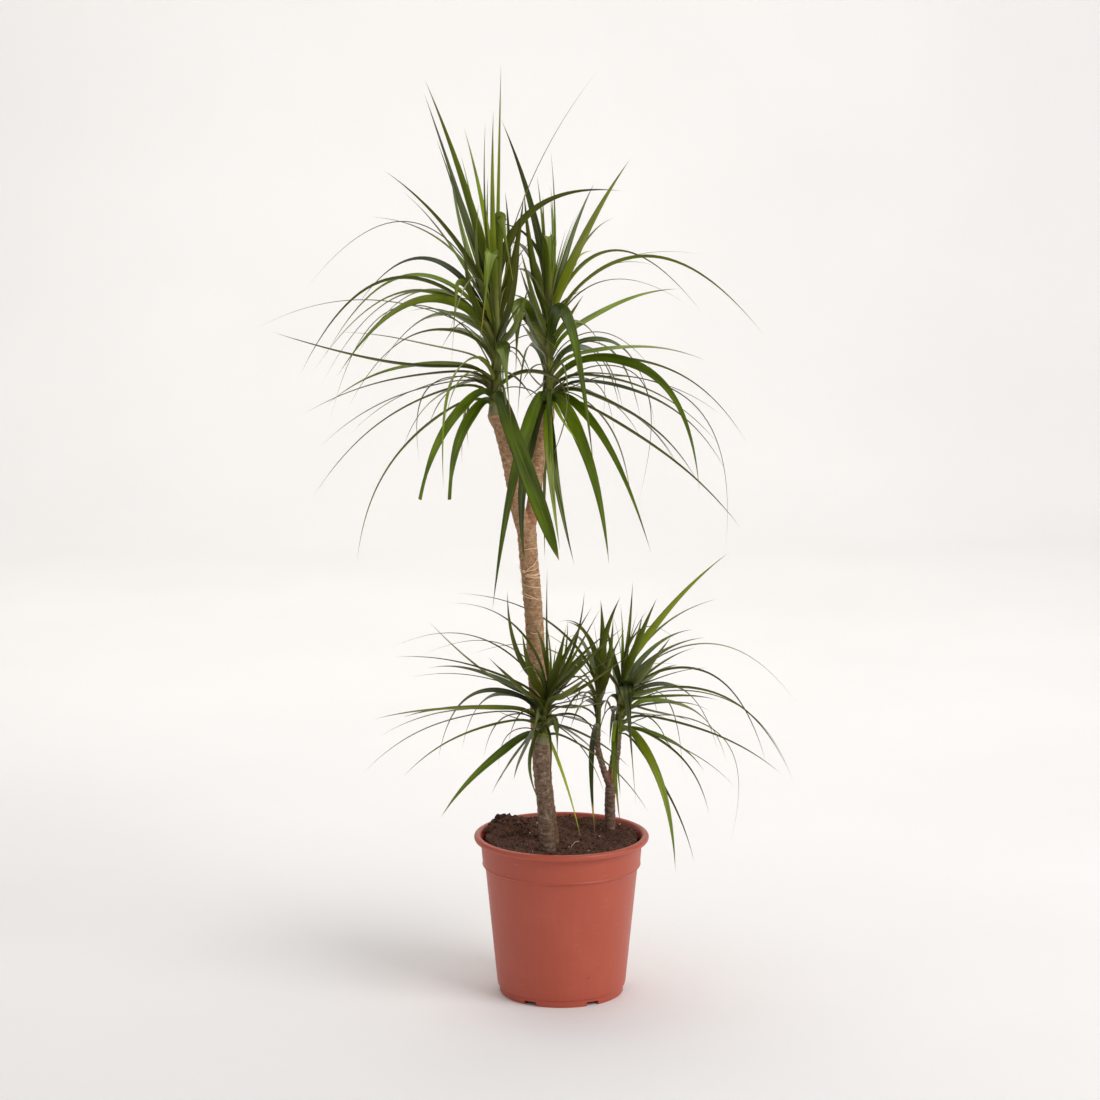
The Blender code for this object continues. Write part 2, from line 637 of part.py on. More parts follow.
def stem_section(bends, height):
    """The centre and the radius of a cane at a height."""
    points = [placed(bend[:3]) for bend in bends]
    for i, (low, high) in enumerate(zip(points, points[1:])):
        if low.z <= height <= high.z:
            break
    share = (height - low.z) / (high.z - low.z)
    width = bends[i][3] + (bends[i + 1][3] - bends[i][3]) * share
    return low.lerp(high, share), width / 2 * MM


def make_raffia(plant, finish):
    """A strand of raffia wound down the tall cane from its knot at the front."""
    strand = []
    steps = round(RAFFIA_TURNS * RAFFIA_STEPS)
    for i in range(steps + 1):
        centre, radius = stem_section(TALL_STEM, RAFFIA_TOP - RAFFIA_DROP * i / steps)
        reach = radius * (1 + SCAR_SWELL) + CLEARANCE + RAFFIA_THICKNESS / 2
        reach /= math.cos(math.pi / RAFFIA_STEPS)
        turn = RAFFIA_START + math.tau * i / RAFFIA_STEPS
        outward = Vector((math.cos(turn), math.sin(turn), 0))
        strand.append((centre + outward * reach, RAFFIA_THICKNESS / 2))
        if i == 0:
            knot_place = centre + outward * (reach + KNOT_RADIUS - RAFFIA_THICKNESS / 2)
    wound = tube("raffia_tie", strand, plant, RAFFIA_SIDES)
    ball = bmesh.new()
    bmesh.ops.create_uvsphere(ball, u_segments=10, v_segments=6, radius=KNOT_RADIUS)
    bmesh.ops.translate(ball, vec=knot_place, verts=ball.verts)
    mesh = bpy.data.meshes.new("knot")
    ball.to_mesh(mesh)
    return joined("raffia_tie", [wound, link("knot", mesh, plant)], plant, finish)


def leaf_line(root, middle, tip, folded):
    """A function that gives the centreline's point at a share of the leaf.

    An arching leaf is a parabola through its middle. A folded one is a conic that turns sharply there.
    """
    if folded:
        weight, bend = FOLD_WEIGHT, middle
    else:
        reach = (middle - root).length
        share = min(0.65, max(0.35, reach / (reach + (tip - middle).length)))
        weight = 1
        bend = (middle - root * (1 - share) ** 2 - tip * share ** 2) / (2 * share * (1 - share))

    def point(t):
        parts = ((1 - t) ** 2, 2 * weight * t * (1 - t), t ** 2)
        return (root * parts[0] + bend * parts[1] + tip * parts[2]) / sum(parts)

    return point


def blade_frames(leaf):
    """The blade's centre, sideways and upward directions at each station but the tip."""
    point = leaf_line(leaf["root"], leaf["middle"], leaf["tip"], leaf["folded"])
    outward = leaf["tip"] - leaf["root"]
    level = Vector((-outward.y, outward.x, 0)) if outward.xy.length > MM else Vector((0, 1, 0))
    shown = level
    frames = []
    for share in BLADE_STATIONS[:-1]:
        lead = (point(min(1, share + 0.02)) - point(max(0, share - 0.02))).normalized()
        level = (level - lead * level.dot(lead)).normalized()
        faced = lead.cross(Vector((0, 1, 0)))
        if faced.length > 0.1:
            shown = faced.normalized() if faced.dot(shown) >= 0 else -faced.normalized()
        side = level.lerp(shown, leaf["facing"])
        side = (side - lead * side.dot(lead)).normalized()
        frames.append((point(share), side, lead.cross(side)))
    if sum(normal.z for _, _, normal in frames) < 0:
        frames = [(place, -side, -normal) for place, side, normal in frames]
    return frames, point(1)


def bulging(points, corners):
    """Two triangles for a wall, split so that it bulges outwards and a thin blade's walls never cross."""
    a, b, c, d = (points[i] for i in corners)
    if (a + c - b - d).dot((c - a).cross(d - b)) > 0:
        order = (0, 1, 2), (0, 2, 3)
    else:
        order = (0, 1, 3), (1, 2, 3)
    return [tuple(corners[i] for i in triangle) for triangle in order]


def blade_mesh(leaf):
    """(points, faces) of a blade: a loft of flat-topped, keeled sections that ends in a point."""
    frames, end = blade_frames(leaf)
    points, faces = [], []
    for share, (place, side, normal) in zip(BLADE_STATIONS, frames):
        half = leaf["width"] / 2 * along(BLADE_WIDTHS, share)
        keel = KEEL + (TIP_KEEL - KEEL) * share
        points += [place - side * half, place + side * half, place - normal * keel]
    edges = ((1, 0), (2, 1), (0, 2))
    for low in range(0, 3 * len(frames) - 3, 3):
        for a, b in edges:
            faces += bulging(points, (low + a, low + b, low + b + 3, low + a + 3))
    last = 3 * len(frames) - 3
    faces += [(last + a, last + b, last + 3) for a, b in edges]
    faces.append((0, 1, 2))
    return [*points, end], faces


def root_share(rise):
    """How far up the leafy stem a leaf grows: old drooping leaves low down, upright ones at the top."""
    share = (math.atan2(rise.z, math.hypot(rise.x, rise.y)) - LOWEST_RISE) / RANGE_OF_RISE
    return min(0.95, max(0.06, share))


def laid_out(crown, row, folded, shrink=1):
    """A leaf of the layout, drawn in towards its crown by a factor, with its reach in depth.

    Leaves of a crown are equally long, so one that looks short reaches the further forward or back.
    """
    mid_x, mid_z, tip_x, tip_z, forward, (width, facing) = row
    foot, top = placed(crown["foot"]), placed(crown["top"])
    centre = foot.lerp(top, 0.5).xz
    mid = centre.lerp(Vector((mid_x, mid_z)) * CM, shrink)
    tip = centre.lerp(Vector((tip_x, tip_z)) * CM, shrink)
    seen = (mid - centre).length + (tip - mid).length
    spare = math.sqrt(max(0, crown["length"] ** 2 - seen ** 2))
    return dict(mid=mid, tip=tip, reach=-forward * spare, folded=folded, width=width * MM, facing=facing)


def seen_leaves(crown, draw):
    """The leaves of a crown that the front view shows."""
    for rows, folded in ((crown["folded"], True), (crown["arching"], False)):
        for row in rows:
            leaf = laid_out(crown, row, folded)
            leaf["width"] *= draw.uniform(0.94, 1.06)
            yield leaf


def unseen_leaves(crown, draw):
    """Leaves behind those of the layout: each follows one of them, drawn in a little, but grows back."""
    rows = crown["arching"]
    for i in range(crown["unseen"]):
        *places, _, _ = rows[(i * BEHIND_STEP + 1) % len(rows)]
        row = (*places, draw.uniform(*BEHIND_GROWTH), draw.choice((MEDIUM, MEDIUM, NARROW)))
        yield laid_out(crown, row, False, draw.uniform(*BEHIND_SHRINK))


def swung(leaf, crown, swing):
    """The leaf's root, middle and tip, the last two swung in depth by a share of its length."""
    depth = crown["foot"][1] * CM
    reach = leaf["reach"] + swing * crown["length"]
    foot, top = placed(crown["foot"]), placed(crown["top"])
    middle = on_sight_line(*leaf["mid"], depth + reach / 2)
    tip = on_sight_line(*leaf["tip"], depth + reach)
    root = foot.lerp(top, root_share(middle - foot.lerp(top, 0.5)))
    return dict(leaf, root=root, middle=middle, tip=tip)


def outer_part(faces):
    """The faces of a blade beyond the crown's middle, where it has to clear the crown's other leaves."""
    return [f for f in faces if min(f) >= 3 * OUTER_STATION]


def tree_of(objects):
    """A search tree over the triangles of these objects."""
    points, faces = [], []
    for obj in objects:
        start = len(points)
        points += [v.co.copy() for v in obj.data.vertices]
        obj.data.calc_loop_triangles()
        faces += [[start + i for i in t.vertices] for t in obj.data.loop_triangles]
    return BVHTree.FromPolygons(points, faces)


def clear_blade(leaf, crown, blocked, neighbours):
    """The blade of a leaf at the smallest swing in depth that clears what stands there already."""
    best = None
    for swing in SWINGS:
        points, faces = blade_mesh(swung(leaf, crown, swing))
        whole = BVHTree.FromPolygons(points, faces)
        if any(whole.overlap(tree) for tree in blocked):
            continue
        outer = BVHTree.FromPolygons(points, outer_part(faces))
        crossings = sum(1 for other in neighbours if outer.overlap(other["outer"]))
        if best is None or crossings < best["crossings"]:
            best = dict(points=points, faces=faces, tree=whole, outer=outer, crossings=crossings)
        if crossings == 0:
            break
    return best


def grow_leaves(obstacles, stems):
    """Places every leaf: first those that the front view shows, then those behind."""
    blades = {name: [] for name in CROWNS}
    solid = tree_of(obstacles)
    stem_trees = {name: tree_of([stem]) for name, stem in stems.items()}
    for rule in (seen_leaves, unseen_leaves):
        for name, crown in CROWNS.items():
            draw = random.Random(crown["seed"])
            for leaf in rule(crown, draw):
                blocked = [solid]
                blocked += [tree for other, tree in stem_trees.items() if other != name]
                blocked += [b["tree"] for other, found in blades.items() if other != name for b in found]
                blade = clear_blade(leaf, crown, blocked, blades[name])
                if blade:
                    blades[name].append(blade)
    return blades


def make_crowns(plant, finish, obstacles):
    """One body for each crown: a leafy stem with its blades."""
    stems = {}
    for name, crown in CROWNS.items():
        radii = (crown["radius"], STEM_TAPER * crown["radius"])
        stems[name] = rod(name, placed(crown["foot"]), placed(crown["top"]), radii, STEM_SIDES, plant)
    for name, blades in grow_leaves(obstacles, stems).items():
        pieces = [stems[name]]
        for i, blade in enumerate(blades):
            mesh = bpy.data.meshes.new(f"{name}_leaf_{i}")
            mesh.from_pydata(blade["points"], [], blade["faces"])
            pieces.append(link(mesh.name, mesh, plant))
        joined(name, pieces, plant, finish)


def clear_scene():
    """Removes whatever the file held."""
    for obj in list(bpy.data.objects):
        bpy.data.objects.remove(obj)


def main():
    """Builds the plant."""
    clear_scene()
    plant = bpy.data.collections.new("potted_dracaena")
    cutters = bpy.data.collections.new("cutters")
    for group in (plant, cutters):
        bpy.context.scene.collection.children.link(group)
    plastic = material("terracotta plastic", "#b55a45", 0.45)
    peat = material("peat", "#3f291d", 0.95)
    bark = material("tan bark", "#97735d", 0.85)
    grey_bark = material("grey bark", "#6b5546", 0.85)
    foliage = material("dracaena leaf", "#4f6b33", 0.45)
    straw = material("raffia", "#b99a6b", 0.8)

    pot = make_pot(plant, cutters, plastic)
    canes, holes = make_canes(plant, bark, grey_bark)
    soil = make_soil(plant, cutters, peat, holes)
    tie = make_raffia(plant, straw)
    make_crowns(plant, foliage, [pot, soil, tie, *canes.values()])


if __name__ == "__main__":
    main()
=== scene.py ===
"""Looks of a potted dracaena: five leafy crowns on bare canes in a moulded plastic grower's pot.

Metres, +Z up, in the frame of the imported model. The front of the plant faces -Y.
"""

import logging
import math
import random
from collections.abc import Callable, Iterator, Sequence
from dataclasses import dataclass, field, replace
from enum import Enum
from functools import cached_property

import bmesh
import bpy
import numpy as np
from mathutils import Matrix, Vector
from mathutils.bvhtree import BVHTree


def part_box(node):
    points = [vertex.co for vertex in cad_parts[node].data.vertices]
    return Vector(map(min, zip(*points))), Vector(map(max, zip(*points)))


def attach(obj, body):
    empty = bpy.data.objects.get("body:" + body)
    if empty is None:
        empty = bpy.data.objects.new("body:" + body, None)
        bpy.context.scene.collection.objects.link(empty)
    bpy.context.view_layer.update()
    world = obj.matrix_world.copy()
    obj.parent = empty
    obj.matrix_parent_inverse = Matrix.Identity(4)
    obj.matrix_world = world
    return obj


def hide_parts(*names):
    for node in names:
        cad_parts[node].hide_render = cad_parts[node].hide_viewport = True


Socket = bpy.types.NodeSocket
Material = bpy.types.Material
Mesh = bpy.types.Mesh
Object = bpy.types.Object
Stops = tuple[tuple[float, str], ...]
Triple = tuple[float, float, float]
Span = tuple[float, float]

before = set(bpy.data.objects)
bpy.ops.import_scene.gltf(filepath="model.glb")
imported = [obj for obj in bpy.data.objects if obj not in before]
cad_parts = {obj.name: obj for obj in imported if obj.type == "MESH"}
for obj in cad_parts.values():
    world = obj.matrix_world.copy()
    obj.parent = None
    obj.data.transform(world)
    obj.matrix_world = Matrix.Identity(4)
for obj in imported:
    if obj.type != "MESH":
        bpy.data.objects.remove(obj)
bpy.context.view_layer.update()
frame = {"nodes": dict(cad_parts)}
LOG = logging.getLogger("dracaena")

CM = 0.01
MM = 0.001
GOLDEN_TURN = math.pi * (3 - math.sqrt(5))

# The layout of canes and leaves is drawn in centimetres on the upright plane through the pot's axis,
# as seen from the camera. A leaf that grows forward or back is moved along its line of sight.
EYE = Vector((0, -3.49, 1.13))


class Show(Enum):
    """How a blade shows itself: (width in mm, share by which its face is turned to the front)."""

    WIDE = (24, 0.95)
    BROAD = (17.5, 0.9)
    MEDIUM = (14.5, 0.65)
    NARROW = (11.5, 0.35)
    FINE = (8, 0.3)


class ToneAndShade(Enum):
    """How light a leaf's green is, with painted shade and light: 0 for old shaded leaves, 1 for young lit
    ones.
    """

    DARK = 0.12
    GREEN = 0.42
    PALE = 0.62
    BRIGHT = 0.95


class End(Enum):
    """How a leaf ends: (share where it starts to dry, how long it stays wide, its least width's share)."""

    FINE = (0.975, 1.7, 0)
    YELLOW = (0.8, 1.7, 0)
    SLANTED = (0.99, 12, 0)
    CUT = (1.2, 3, 0.3)
    DRY = (0.0, 1.7, 0)


# A share past the tip, where a blade has no dried end.
PAST_TIP = 1.5

WIDE, BROAD, MEDIUM, NARROW, FINE = Show
DARK, GREEN, PALE, BRIGHT = ToneAndShade

# A leaf: (middle right, middle up, tip right, tip up, growth towards the front, how it shows,
# and, where they differ from plain green and a fine tip, its lightness with painted shade and light, and its
# end).
# The first four are centimetres of the layout, and growth runs from -1, straight back, to 1.
LEFT_ARCHING = (
    (-11.7, 97.6, -15.8, 108.7, 0.2, BROAD),
    (-12.4, 96.6, -15.9, 107.2, -0.3, MEDIUM, DARK),
    (-11.6, 91.3, -12.9, 98.5, -0.6, MEDIUM),
    (-9, 93.1, -11.3, 103.2, -0.3, MEDIUM, PALE),
    (-8.8, 91.3, -8.8, 104.2, 0.2, FINE),
    (-7.3, 96, -7, 110.6, 0, MEDIUM, BRIGHT),
    (-8, 91.9, -7.9, 105.3, 0.5, MEDIUM, BRIGHT),
    (-9.5, 90.1, -11.7, 100.2, -0.6, NARROW, PALE),
    (-18.8, 92.2, -30, 84.3, 0.1, NARROW, DARK),
    (-13.9, 89.9, -22.4, 92.9, -0.5, NARROW),
    (-13.3, 91.3, -20.6, 98.3, 0.4, MEDIUM, DARK),
    (-13, 89.5, -18.6, 96, -0.8, NARROW),
    (-22.3, 83.1, -35.6, 80, 0.3, FINE),
    (-19.6, 75.6, -33.9, 79.6, 0.35, MEDIUM, DARK),
    (-19.4, 85.5, -30.7, 74.3, 0.2, MEDIUM),
    (-17, 85.9, -27.6, 76.8, -0.2, MEDIUM, PALE),
    (-17.3, 78.2, -26.1, 79.5, -0.7, NARROW),
    (-17, 83.9, -28.1, 73.4, 0.5, MEDIUM, DARK),
    (-15.9, 83.1, -26.3, 74.3, 0.7, BROAD),
    (-16.5, 79.2, -25.1, 70.5, 0.6, MEDIUM, DARK),
    (-18.2, 74, -30.3, 69.9, 0.3, MEDIUM),
    (-18.2, 75.3, -27.6, 70.9, -0.4, MEDIUM, PALE),
    (-18.4, 72.1, -28.5, 65.9, 0.4, NARROW),
    (-17.6, 70.7, -29.3, 60, 0.5, MEDIUM, DARK),
    (-18.2, 66, -24.2, 52.1, 0.5, MEDIUM, PALE),
    (-14.2, 71.9, -18.6, 66, -0.8, MEDIUM),
    (-13, 68.9, -16.7, 59.8, 0.8, BROAD, GREEN, End.CUT),
    (-11.4, 68.2, -13.2, 59.8, 0.6, BROAD, GREEN, End.CUT),
    (-12.4, 74.3, -13.9, 61.1, 0.9, MEDIUM, BRIGHT),
    (-12.6, 81.3, -18, 81.9, 0.9, MEDIUM),
    (-2, 94.5, 7, 95.9, 0.3, BROAD, DARK),
    (-5.6, 87.5, -4.4, 95.4, 0.2, BROAD, DARK),
    (-5.8, 83.5, -4.9, 90, 0.5, MEDIUM, DARK),
    (-5.3, 80.3, -3.9, 85, 0.6, MEDIUM, PALE),
    (-6.3, 86, -6.6, 96, -0.3, MEDIUM, DARK),
    (-9.3, 84.5, -9.6, 94.5, 0.1, MEDIUM, PALE),
    (-10.3, 83, -11.2, 91, 0.3, MEDIUM, DARK),
    (-8.5, 82, -8.8, 90, 0.6, MEDIUM, BRIGHT),
    (-6.2, 80.5, -3.2, 84.5, 0.5, NARROW, DARK),
    (-5.6, 77.5, -3.4, 74, 0.6, NARROW, DARK),
    (-6, 74.5, -3.2, 71.5, 0.4, NARROW, DARK),
    (-5.2, 80, -1.2, 80.7, 0.3, FINE, DARK),
    (-3.5, 96.9, 4.3, 109.9, 0, FINE),
    (-5.5, 66.6, -0.3, 52.5, 0.3, WIDE, GREEN, End.SLANTED),
    (0, 73.1, -2, 62.9, 0.5, MEDIUM),
    (-10.4, 71.9, -11.7, 63.8, 0.3, NARROW, PALE, End.DRY),
)
LEFT_FOLDED = (
    (-12.2, 85.9, -12.9, 75.4, 0.5, NARROW),
    (-8.2, 89.5, -9.7, 77.1, 0.7, BROAD, PALE),
    (-7.2, 93.9, -5.2, 83, 0.35, MEDIUM),
    (-6.8, 77.8, -5.9, 68.5, 0.5, BROAD, PALE),
)
RIGHT_ARCHING = (
    (-2.9, 91.2, -7, 104.1, -0.2, BROAD, DARK),
    (-4.3, 90.9, -8.2, 92.1, 0.2, MEDIUM, DARK),
    (-3, 85.5, -4.4, 96, 0.1, BROAD, DARK),
    (-3.2, 83, -4.9, 89.5, 0.6, MEDIUM),
    (-3.2, 78.8, -4.6, 83, 0.8, MEDIUM, DARK),
    (-1.9, 86, -2.2, 95.5, 0.2, MEDIUM, PALE),
    (-3.9, 84, -5, 87.5, -0.4, NARROW, DARK),
    (-3.1, 81.5, -5.2, 84, -0.5, NARROW, DARK),
    (-3.2, 78.3, -4.9, 80.8, 0.6, MEDIUM, DARK),
    (-3, 75.5, -4.7, 73.5, 0.5, NARROW, DARK),
    (-3, 73.6, -4.9, 76.3, -0.5, FINE, DARK),
    (-2.8, 72.6, -4.4, 71.6, 0.6, FINE, DARK),
    (0.4, 80.5, 2.6, 84, 0.3, MEDIUM, PALE),
    (2.7, 90.7, 7.9, 99.6, 0.5, BROAD, BRIGHT),
    (0.9, 89.7, 3.8, 96.9, -0.6, MEDIUM, DARK),
    (-0.8, 90.1, -1.3, 100.6, -0.4, FINE),
    (-2, 88.9, -2.9, 97.9, -0.8, NARROW),
    (6.1, 88.8, 16.5, 81.6, 0.3, MEDIUM),
    (9.2, 88, 23.5, 79.3, 0.1, MEDIUM),
    (4.2, 86.5, 11, 87.2, -0.7, NARROW, DARK),
    (6.1, 82.5, 13.7, 84.6, -0.6, MEDIUM, PALE),
    (2.1, 88.9, 6, 92.8, -0.9, NARROW, DARK),
    (5.9, 78, 11, 68.2, -0.7, MEDIUM, DARK),
    (7.9, 77.6, 17.1, 76.1, -0.5, MEDIUM),
    (10.2, 74.6, 16.2, 60.8, 0.6, BROAD, PALE),
    (12.5, 75, 21.8, 66.4, 0.2, MEDIUM),
    (9.2, 73.9, 18.9, 69.7, -0.4, NARROW, DARK),
    (9.6, 72.8, 18.6, 66.1, 0.4, MEDIUM, PALE),
    (10.8, 71.5, 19.6, 62.6, -0.3, MEDIUM, DARK),
    (9, 69.3, 16, 61.9, 0.6, MEDIUM),
    (10.8, 65.9, 21.2, 56.3, 0.3, MEDIUM),
    (0.2, 81.4, 3.8, 63.3, 0.8, WIDE, GREEN),
    (2.7, 69.6, 10.6, 53.3, 0.4, BROAD),
    (2.7, 65.4, 5.6, 52, 0.7, WIDE, PALE),
    (5, 64.3, 6.4, 48.9, -0.4, BROAD, DARK),
    (4.4, 69.6, 8.2, 59.3, -0.7, NARROW, DARK),
    (0.1, 69, 2.1, 66.2, 0.9, NARROW, BRIGHT),
    (-4.6, 65.8, -8.2, 46.5, 0.7, WIDE),
    (-4.4, 62.9, -4.3, 52.1, 0.8, WIDE, DARK),
    (-1.5, 65.1, -0.2, 53.7, 0.6, BROAD, PALE),
    (-0.8, 63.1, 1.5, 52, 0.3, BROAD, DARK),
    (-2, 63, -2, 52.5, -0.5, NARROW, DARK),
)
RIGHT_FOLDED = (
    (-5.1, 82.6, -5.4, 74.3, 0.3, WIDE),
    (-1.5, 91.4, -1.1, 83.5, 0.2, MEDIUM, PALE),
)
MIDDLE_ARCHING = (
    (-9.1, 27.6, -14.5, 21.2, 0.4, BROAD),
    (-5.6, 28.6, -8.4, 24.2, 0.9, MEDIUM),
    (-4.5, 29.2, -5.7, 25.9, 1, MEDIUM),
    (-11.5, 31.4, -19.1, 26.1, 0.3, MEDIUM),
    (-9.7, 36.4, -14.8, 28, -0.4, MEDIUM, DARK),
    (-14.5, 32.7, -23.9, 26.5, 0.1, NARROW, DARK),
    (-12.7, 34.5, -22.5, 33.3, 0.2, MEDIUM, PALE),
    (-13.3, 34.2, -21.9, 31.1, -0.3, NARROW),
    (-11.5, 40, -19.9, 40.9, 0.2, MEDIUM, DARK),
    (-9.7, 39.4, -15.8, 45.3, -0.3, NARROW, DARK),
    (-10.3, 38.5, -18.2, 38.4, 0.4, NARROW),
    (-6.2, 45.1, -13.4, 47.4, -0.6, NARROW, DARK),
    (-5, 40.6, -6.4, 49, 0.3, MEDIUM, DARK),
    (-3.2, 39.5, -5.3, 38.6, 0.6, FINE),
    (-0.6, 39.4, 0.5, 44.4, 0.4, BROAD, DARK),
    (1.1, 38.4, 7.4, 44.6, 0.6, MEDIUM, DARK),
    (2.2, 36.8, 8.4, 41.4, 0.6, MEDIUM, DARK),
    (0.4, 40.8, 3.6, 47, 0.3, MEDIUM, DARK),
    (1.9, 34.6, 5.2, 35.4, 0.8, MEDIUM, DARK),
    (0.6, 36.2, 3.5, 38.8, 0.9, BROAD),
    (-4.6, 36.6, -8.8, 41, 0.6, MEDIUM, DARK),
    (-3.4, 38.2, -4.7, 44, 0.5, BROAD, DARK),
    (1.5, 40, 5.9, 44.2, 0.5, MEDIUM, DARK),
    (1.2, 39.1, 4, 41.8, -0.6, MEDIUM, DARK),
    (0.1, 39.4, 0.7, 45.5, -0.5, NARROW, DARK),
    (1.2, 41.2, 2.7, 49, -0.2, NARROW, DARK),
    (-0.2, 27.3, 2.3, 18.8, 0.8, MEDIUM, BRIGHT),
    (-3.8, 28, -2.6, 23.1, 0.7, NARROW, PALE),
    (1.8, 30.4, 5.2, 24.1, 0.6, MEDIUM, GREEN, End.YELLOW),
    (4.3, 28.6, 10.5, 21.8, 0.4, MEDIUM),
    (-1.7, 40.6, -1.7, 51.9, 0.1, FINE, DARK),
    (2.3, 38.2, 8.8, 42.6, 0.4, NARROW, DARK),
    (0.9, 39.8, 4.6, 46.8, 0.6, NARROW),
    (1.9, 35.6, 7.1, 36.8, 0.5, NARROW),
    (1.7, 33.2, 5.8, 31.2, 0.5, NARROW, DARK),
    (2.5, 31.4, 8.2, 27.4, 0.4, NARROW, DARK),
    (-4.2, 33, -8.2, 34.6, 0.7, NARROW, DARK),
)
MIDDLE_FOLDED = (
    (-0.5, 32.8, -0.5, 27.4, 0.7, NARROW),
    (-2.8, 34.3, -3.9, 29.3, 0.4, NARROW, DARK),
)
SMALL_ARCHING = (
    (-2.6, 45.7, -12.4, 48.6, 0.5, MEDIUM, DARK),
    (2.1, 44.7, -0.5, 45.1, 0.3, NARROW),
    (5.1, 43, 7, 48.3, 0.2, BROAD, DARK),
    (4.9, 42.2, 4.6, 47.9, 0.1, BROAD, DARK),
    (3, 43.5, 0.4, 45.2, 0.4, MEDIUM, DARK),
    (5.7, 41, 6.1, 45.8, 0.3, MEDIUM),
    (5.3, 38, 6.4, 42, 0.1, MEDIUM, DARK),
    (5.2, 35.5, 6.3, 33, -0.3, NARROW),
    (5.4, 39.5, 7.6, 44.5, 0.3, NARROW, DARK),
    (3, 37.5, 1.5, 34.5, -0.4, NARROW, DARK),
    (2.2, 36.4, -0.4, 31.8, 0.3, NARROW, DARK),
    (1.4, 38.6, -1.8, 38.2, 0.2, NARROW, PALE),
    (3.6, 28.6, 4.1, 18.4, 0.8, MEDIUM, DARK, End.YELLOW),
)
SMALL_FOLDED = ()
LOWER_RIGHT_ARCHING = (
    (11.6, 45.1, 19.7, 53.5, 0.3, BROAD, BRIGHT),
    (11.9, 44.5, 18.6, 48, -0.3, NARROW),
    (11.6, 41.2, 17.2, 43.3, -0.4, MEDIUM, DARK),
    (18.1, 42.3, 28.2, 35.1, 0, FINE),
    (11.4, 39.7, 16, 42.1, -0.6, NARROW, DARK),
    (12.8, 38.7, 17.7, 39.6, 0.5, NARROW),
    (16.4, 39, 24.6, 27.5, 0.3, MEDIUM, DARK),
    (18.1, 36.3, 27.3, 26.7, 0.1, MEDIUM),
    (19.9, 35.4, 28, 24.8, -0.1, FINE),
    (13.4, 36.1, 18.6, 35.7, 0.5, MEDIUM, PALE),
    (13, 35.3, 17.8, 34.3, -0.5, NARROW, DARK),
    (11.9, 33.9, 15.4, 33.1, 0.8, MEDIUM),
    (16.9, 31.8, 26.5, 26.5, 0.2, MEDIUM),
    (14, 28.8, 17.7, 21.6, 0.4, MEDIUM, PALE),
    (15.8, 29, 20.9, 24.9, -0.2, NARROW, DARK),
    (13.4, 30.4, 17.1, 26.9, -0.5, MEDIUM),
    (11, 27.4, 13.7, 14.6, 0.5, BROAD, PALE),
    (12.2, 25, 16, 15.6, 0.2, NARROW, DARK),
    (6.3, 29.2, 7.1, 19.9, 0.7, MEDIUM, GREEN, End.YELLOW),
    (7.9, 43, 8.4, 50.1, -0.2, NARROW),
    (8.5, 41.2, 9.6, 46.2, -0.5, MEDIUM, DARK),
    (9, 42.4, 11.3, 48.1, 0.4, BROAD),
    (9.6, 38.6, 13, 43.4, 0.7, BROAD, DARK),
    (9.9, 36.4, 14.2, 37.6, 0.8, BROAD),
    (10.4, 44.6, 13.9, 42.7, 0.2, FINE),
    (5.7, 36, 5, 33.2, 0.3, MEDIUM, DARK),
    (5.5, 39, 3.6, 41.5, 0.2, NARROW, DARK),
    (6.1, 41, 5.2, 45, -0.2, MEDIUM),
    (5.6, 34.5, 4.4, 31, -0.3, MEDIUM, DARK),
    (6.2, 34, 5.7, 30, 0.5, MEDIUM),
)
LOWER_RIGHT_FOLDED = ((7.7, 37.4, 8.9, 22.9, 0.6, BROAD, DARK),)

# A stem: (right, depth, up, thickness in mm) at each bend, in the layout's centimetres.
TALL_STEM = (
    (-1.6, 0.5, 21, 20.5), (-2.3, 0.5, 27, 21.5), (-2.8, 0.3, 37, 22), (-3.3, 0, 46, 21.5),
    (-3.9, 0, 53, 22), (-4.2, 0, 57, 23),
)
LEFT_BRANCH = ((-4.2, 0, 55.5, 17), (-5.1, -0.5, 58.5, 17), (-6.1, -1, 64, 17), (-7.2, -1.4, 68.3, 16))
RIGHT_BRANCH = ((-4, 0.2, 56, 16), (-3.3, 0.5, 59.5, 16), (-2.8, 1, 64, 15.5), (-2, 1.4, 68, 15))
MIDDLE_STEM = ((-1.8, -5, 19.5, 18), (-2.1, -5, 24, 17), (-2.4, -5, 28.5, 16))
RIGHT_STEM = ((5.8, 3.8, 21, 13), (5.8, 3.8, 23.5, 12.5), (5.9, 3.9, 25.6, 13))
RIGHT_THICK_BRANCH = ((5.9, 3.9, 25, 11.5), (6.2, 4, 27.5, 11.5), (6.5, 4, 29.5, 11))
RIGHT_THIN_BRANCH = ((5.8, 3.8, 25, 8), (5.1, 3.6, 27, 7.5), (4.4, 3.5, 29.5, 7.2))


# Helpers for colours, nodes and meshes


def srgb(code: str) -> tuple[float, float, float, float]:
    """Turns a hex colour into linear light.

    Args:
        code: the sRGB colour, such as "#b55a45".

    Returns:
        The linear red, green, blue and alpha.
    """
    parts = (int(code[i:i + 2], 16) / 255 for i in (1, 3, 5))
    linear = [c / 12.92 if c <= 0.04045 else ((c + 0.055) / 1.055) ** 2.4 for c in parts]
    return (*linear, 1.0)


def feed(tree: bpy.types.NodeTree, node: bpy.types.Node, inputs: dict) -> None:
    """Sets a node's inputs, by name or number, each to a value or to a link from an output socket."""
    for key, value in inputs.items():
        if isinstance(value, Socket):
            tree.links.new(value, node.inputs[key])
        else:
            node.inputs[key].default_value = value


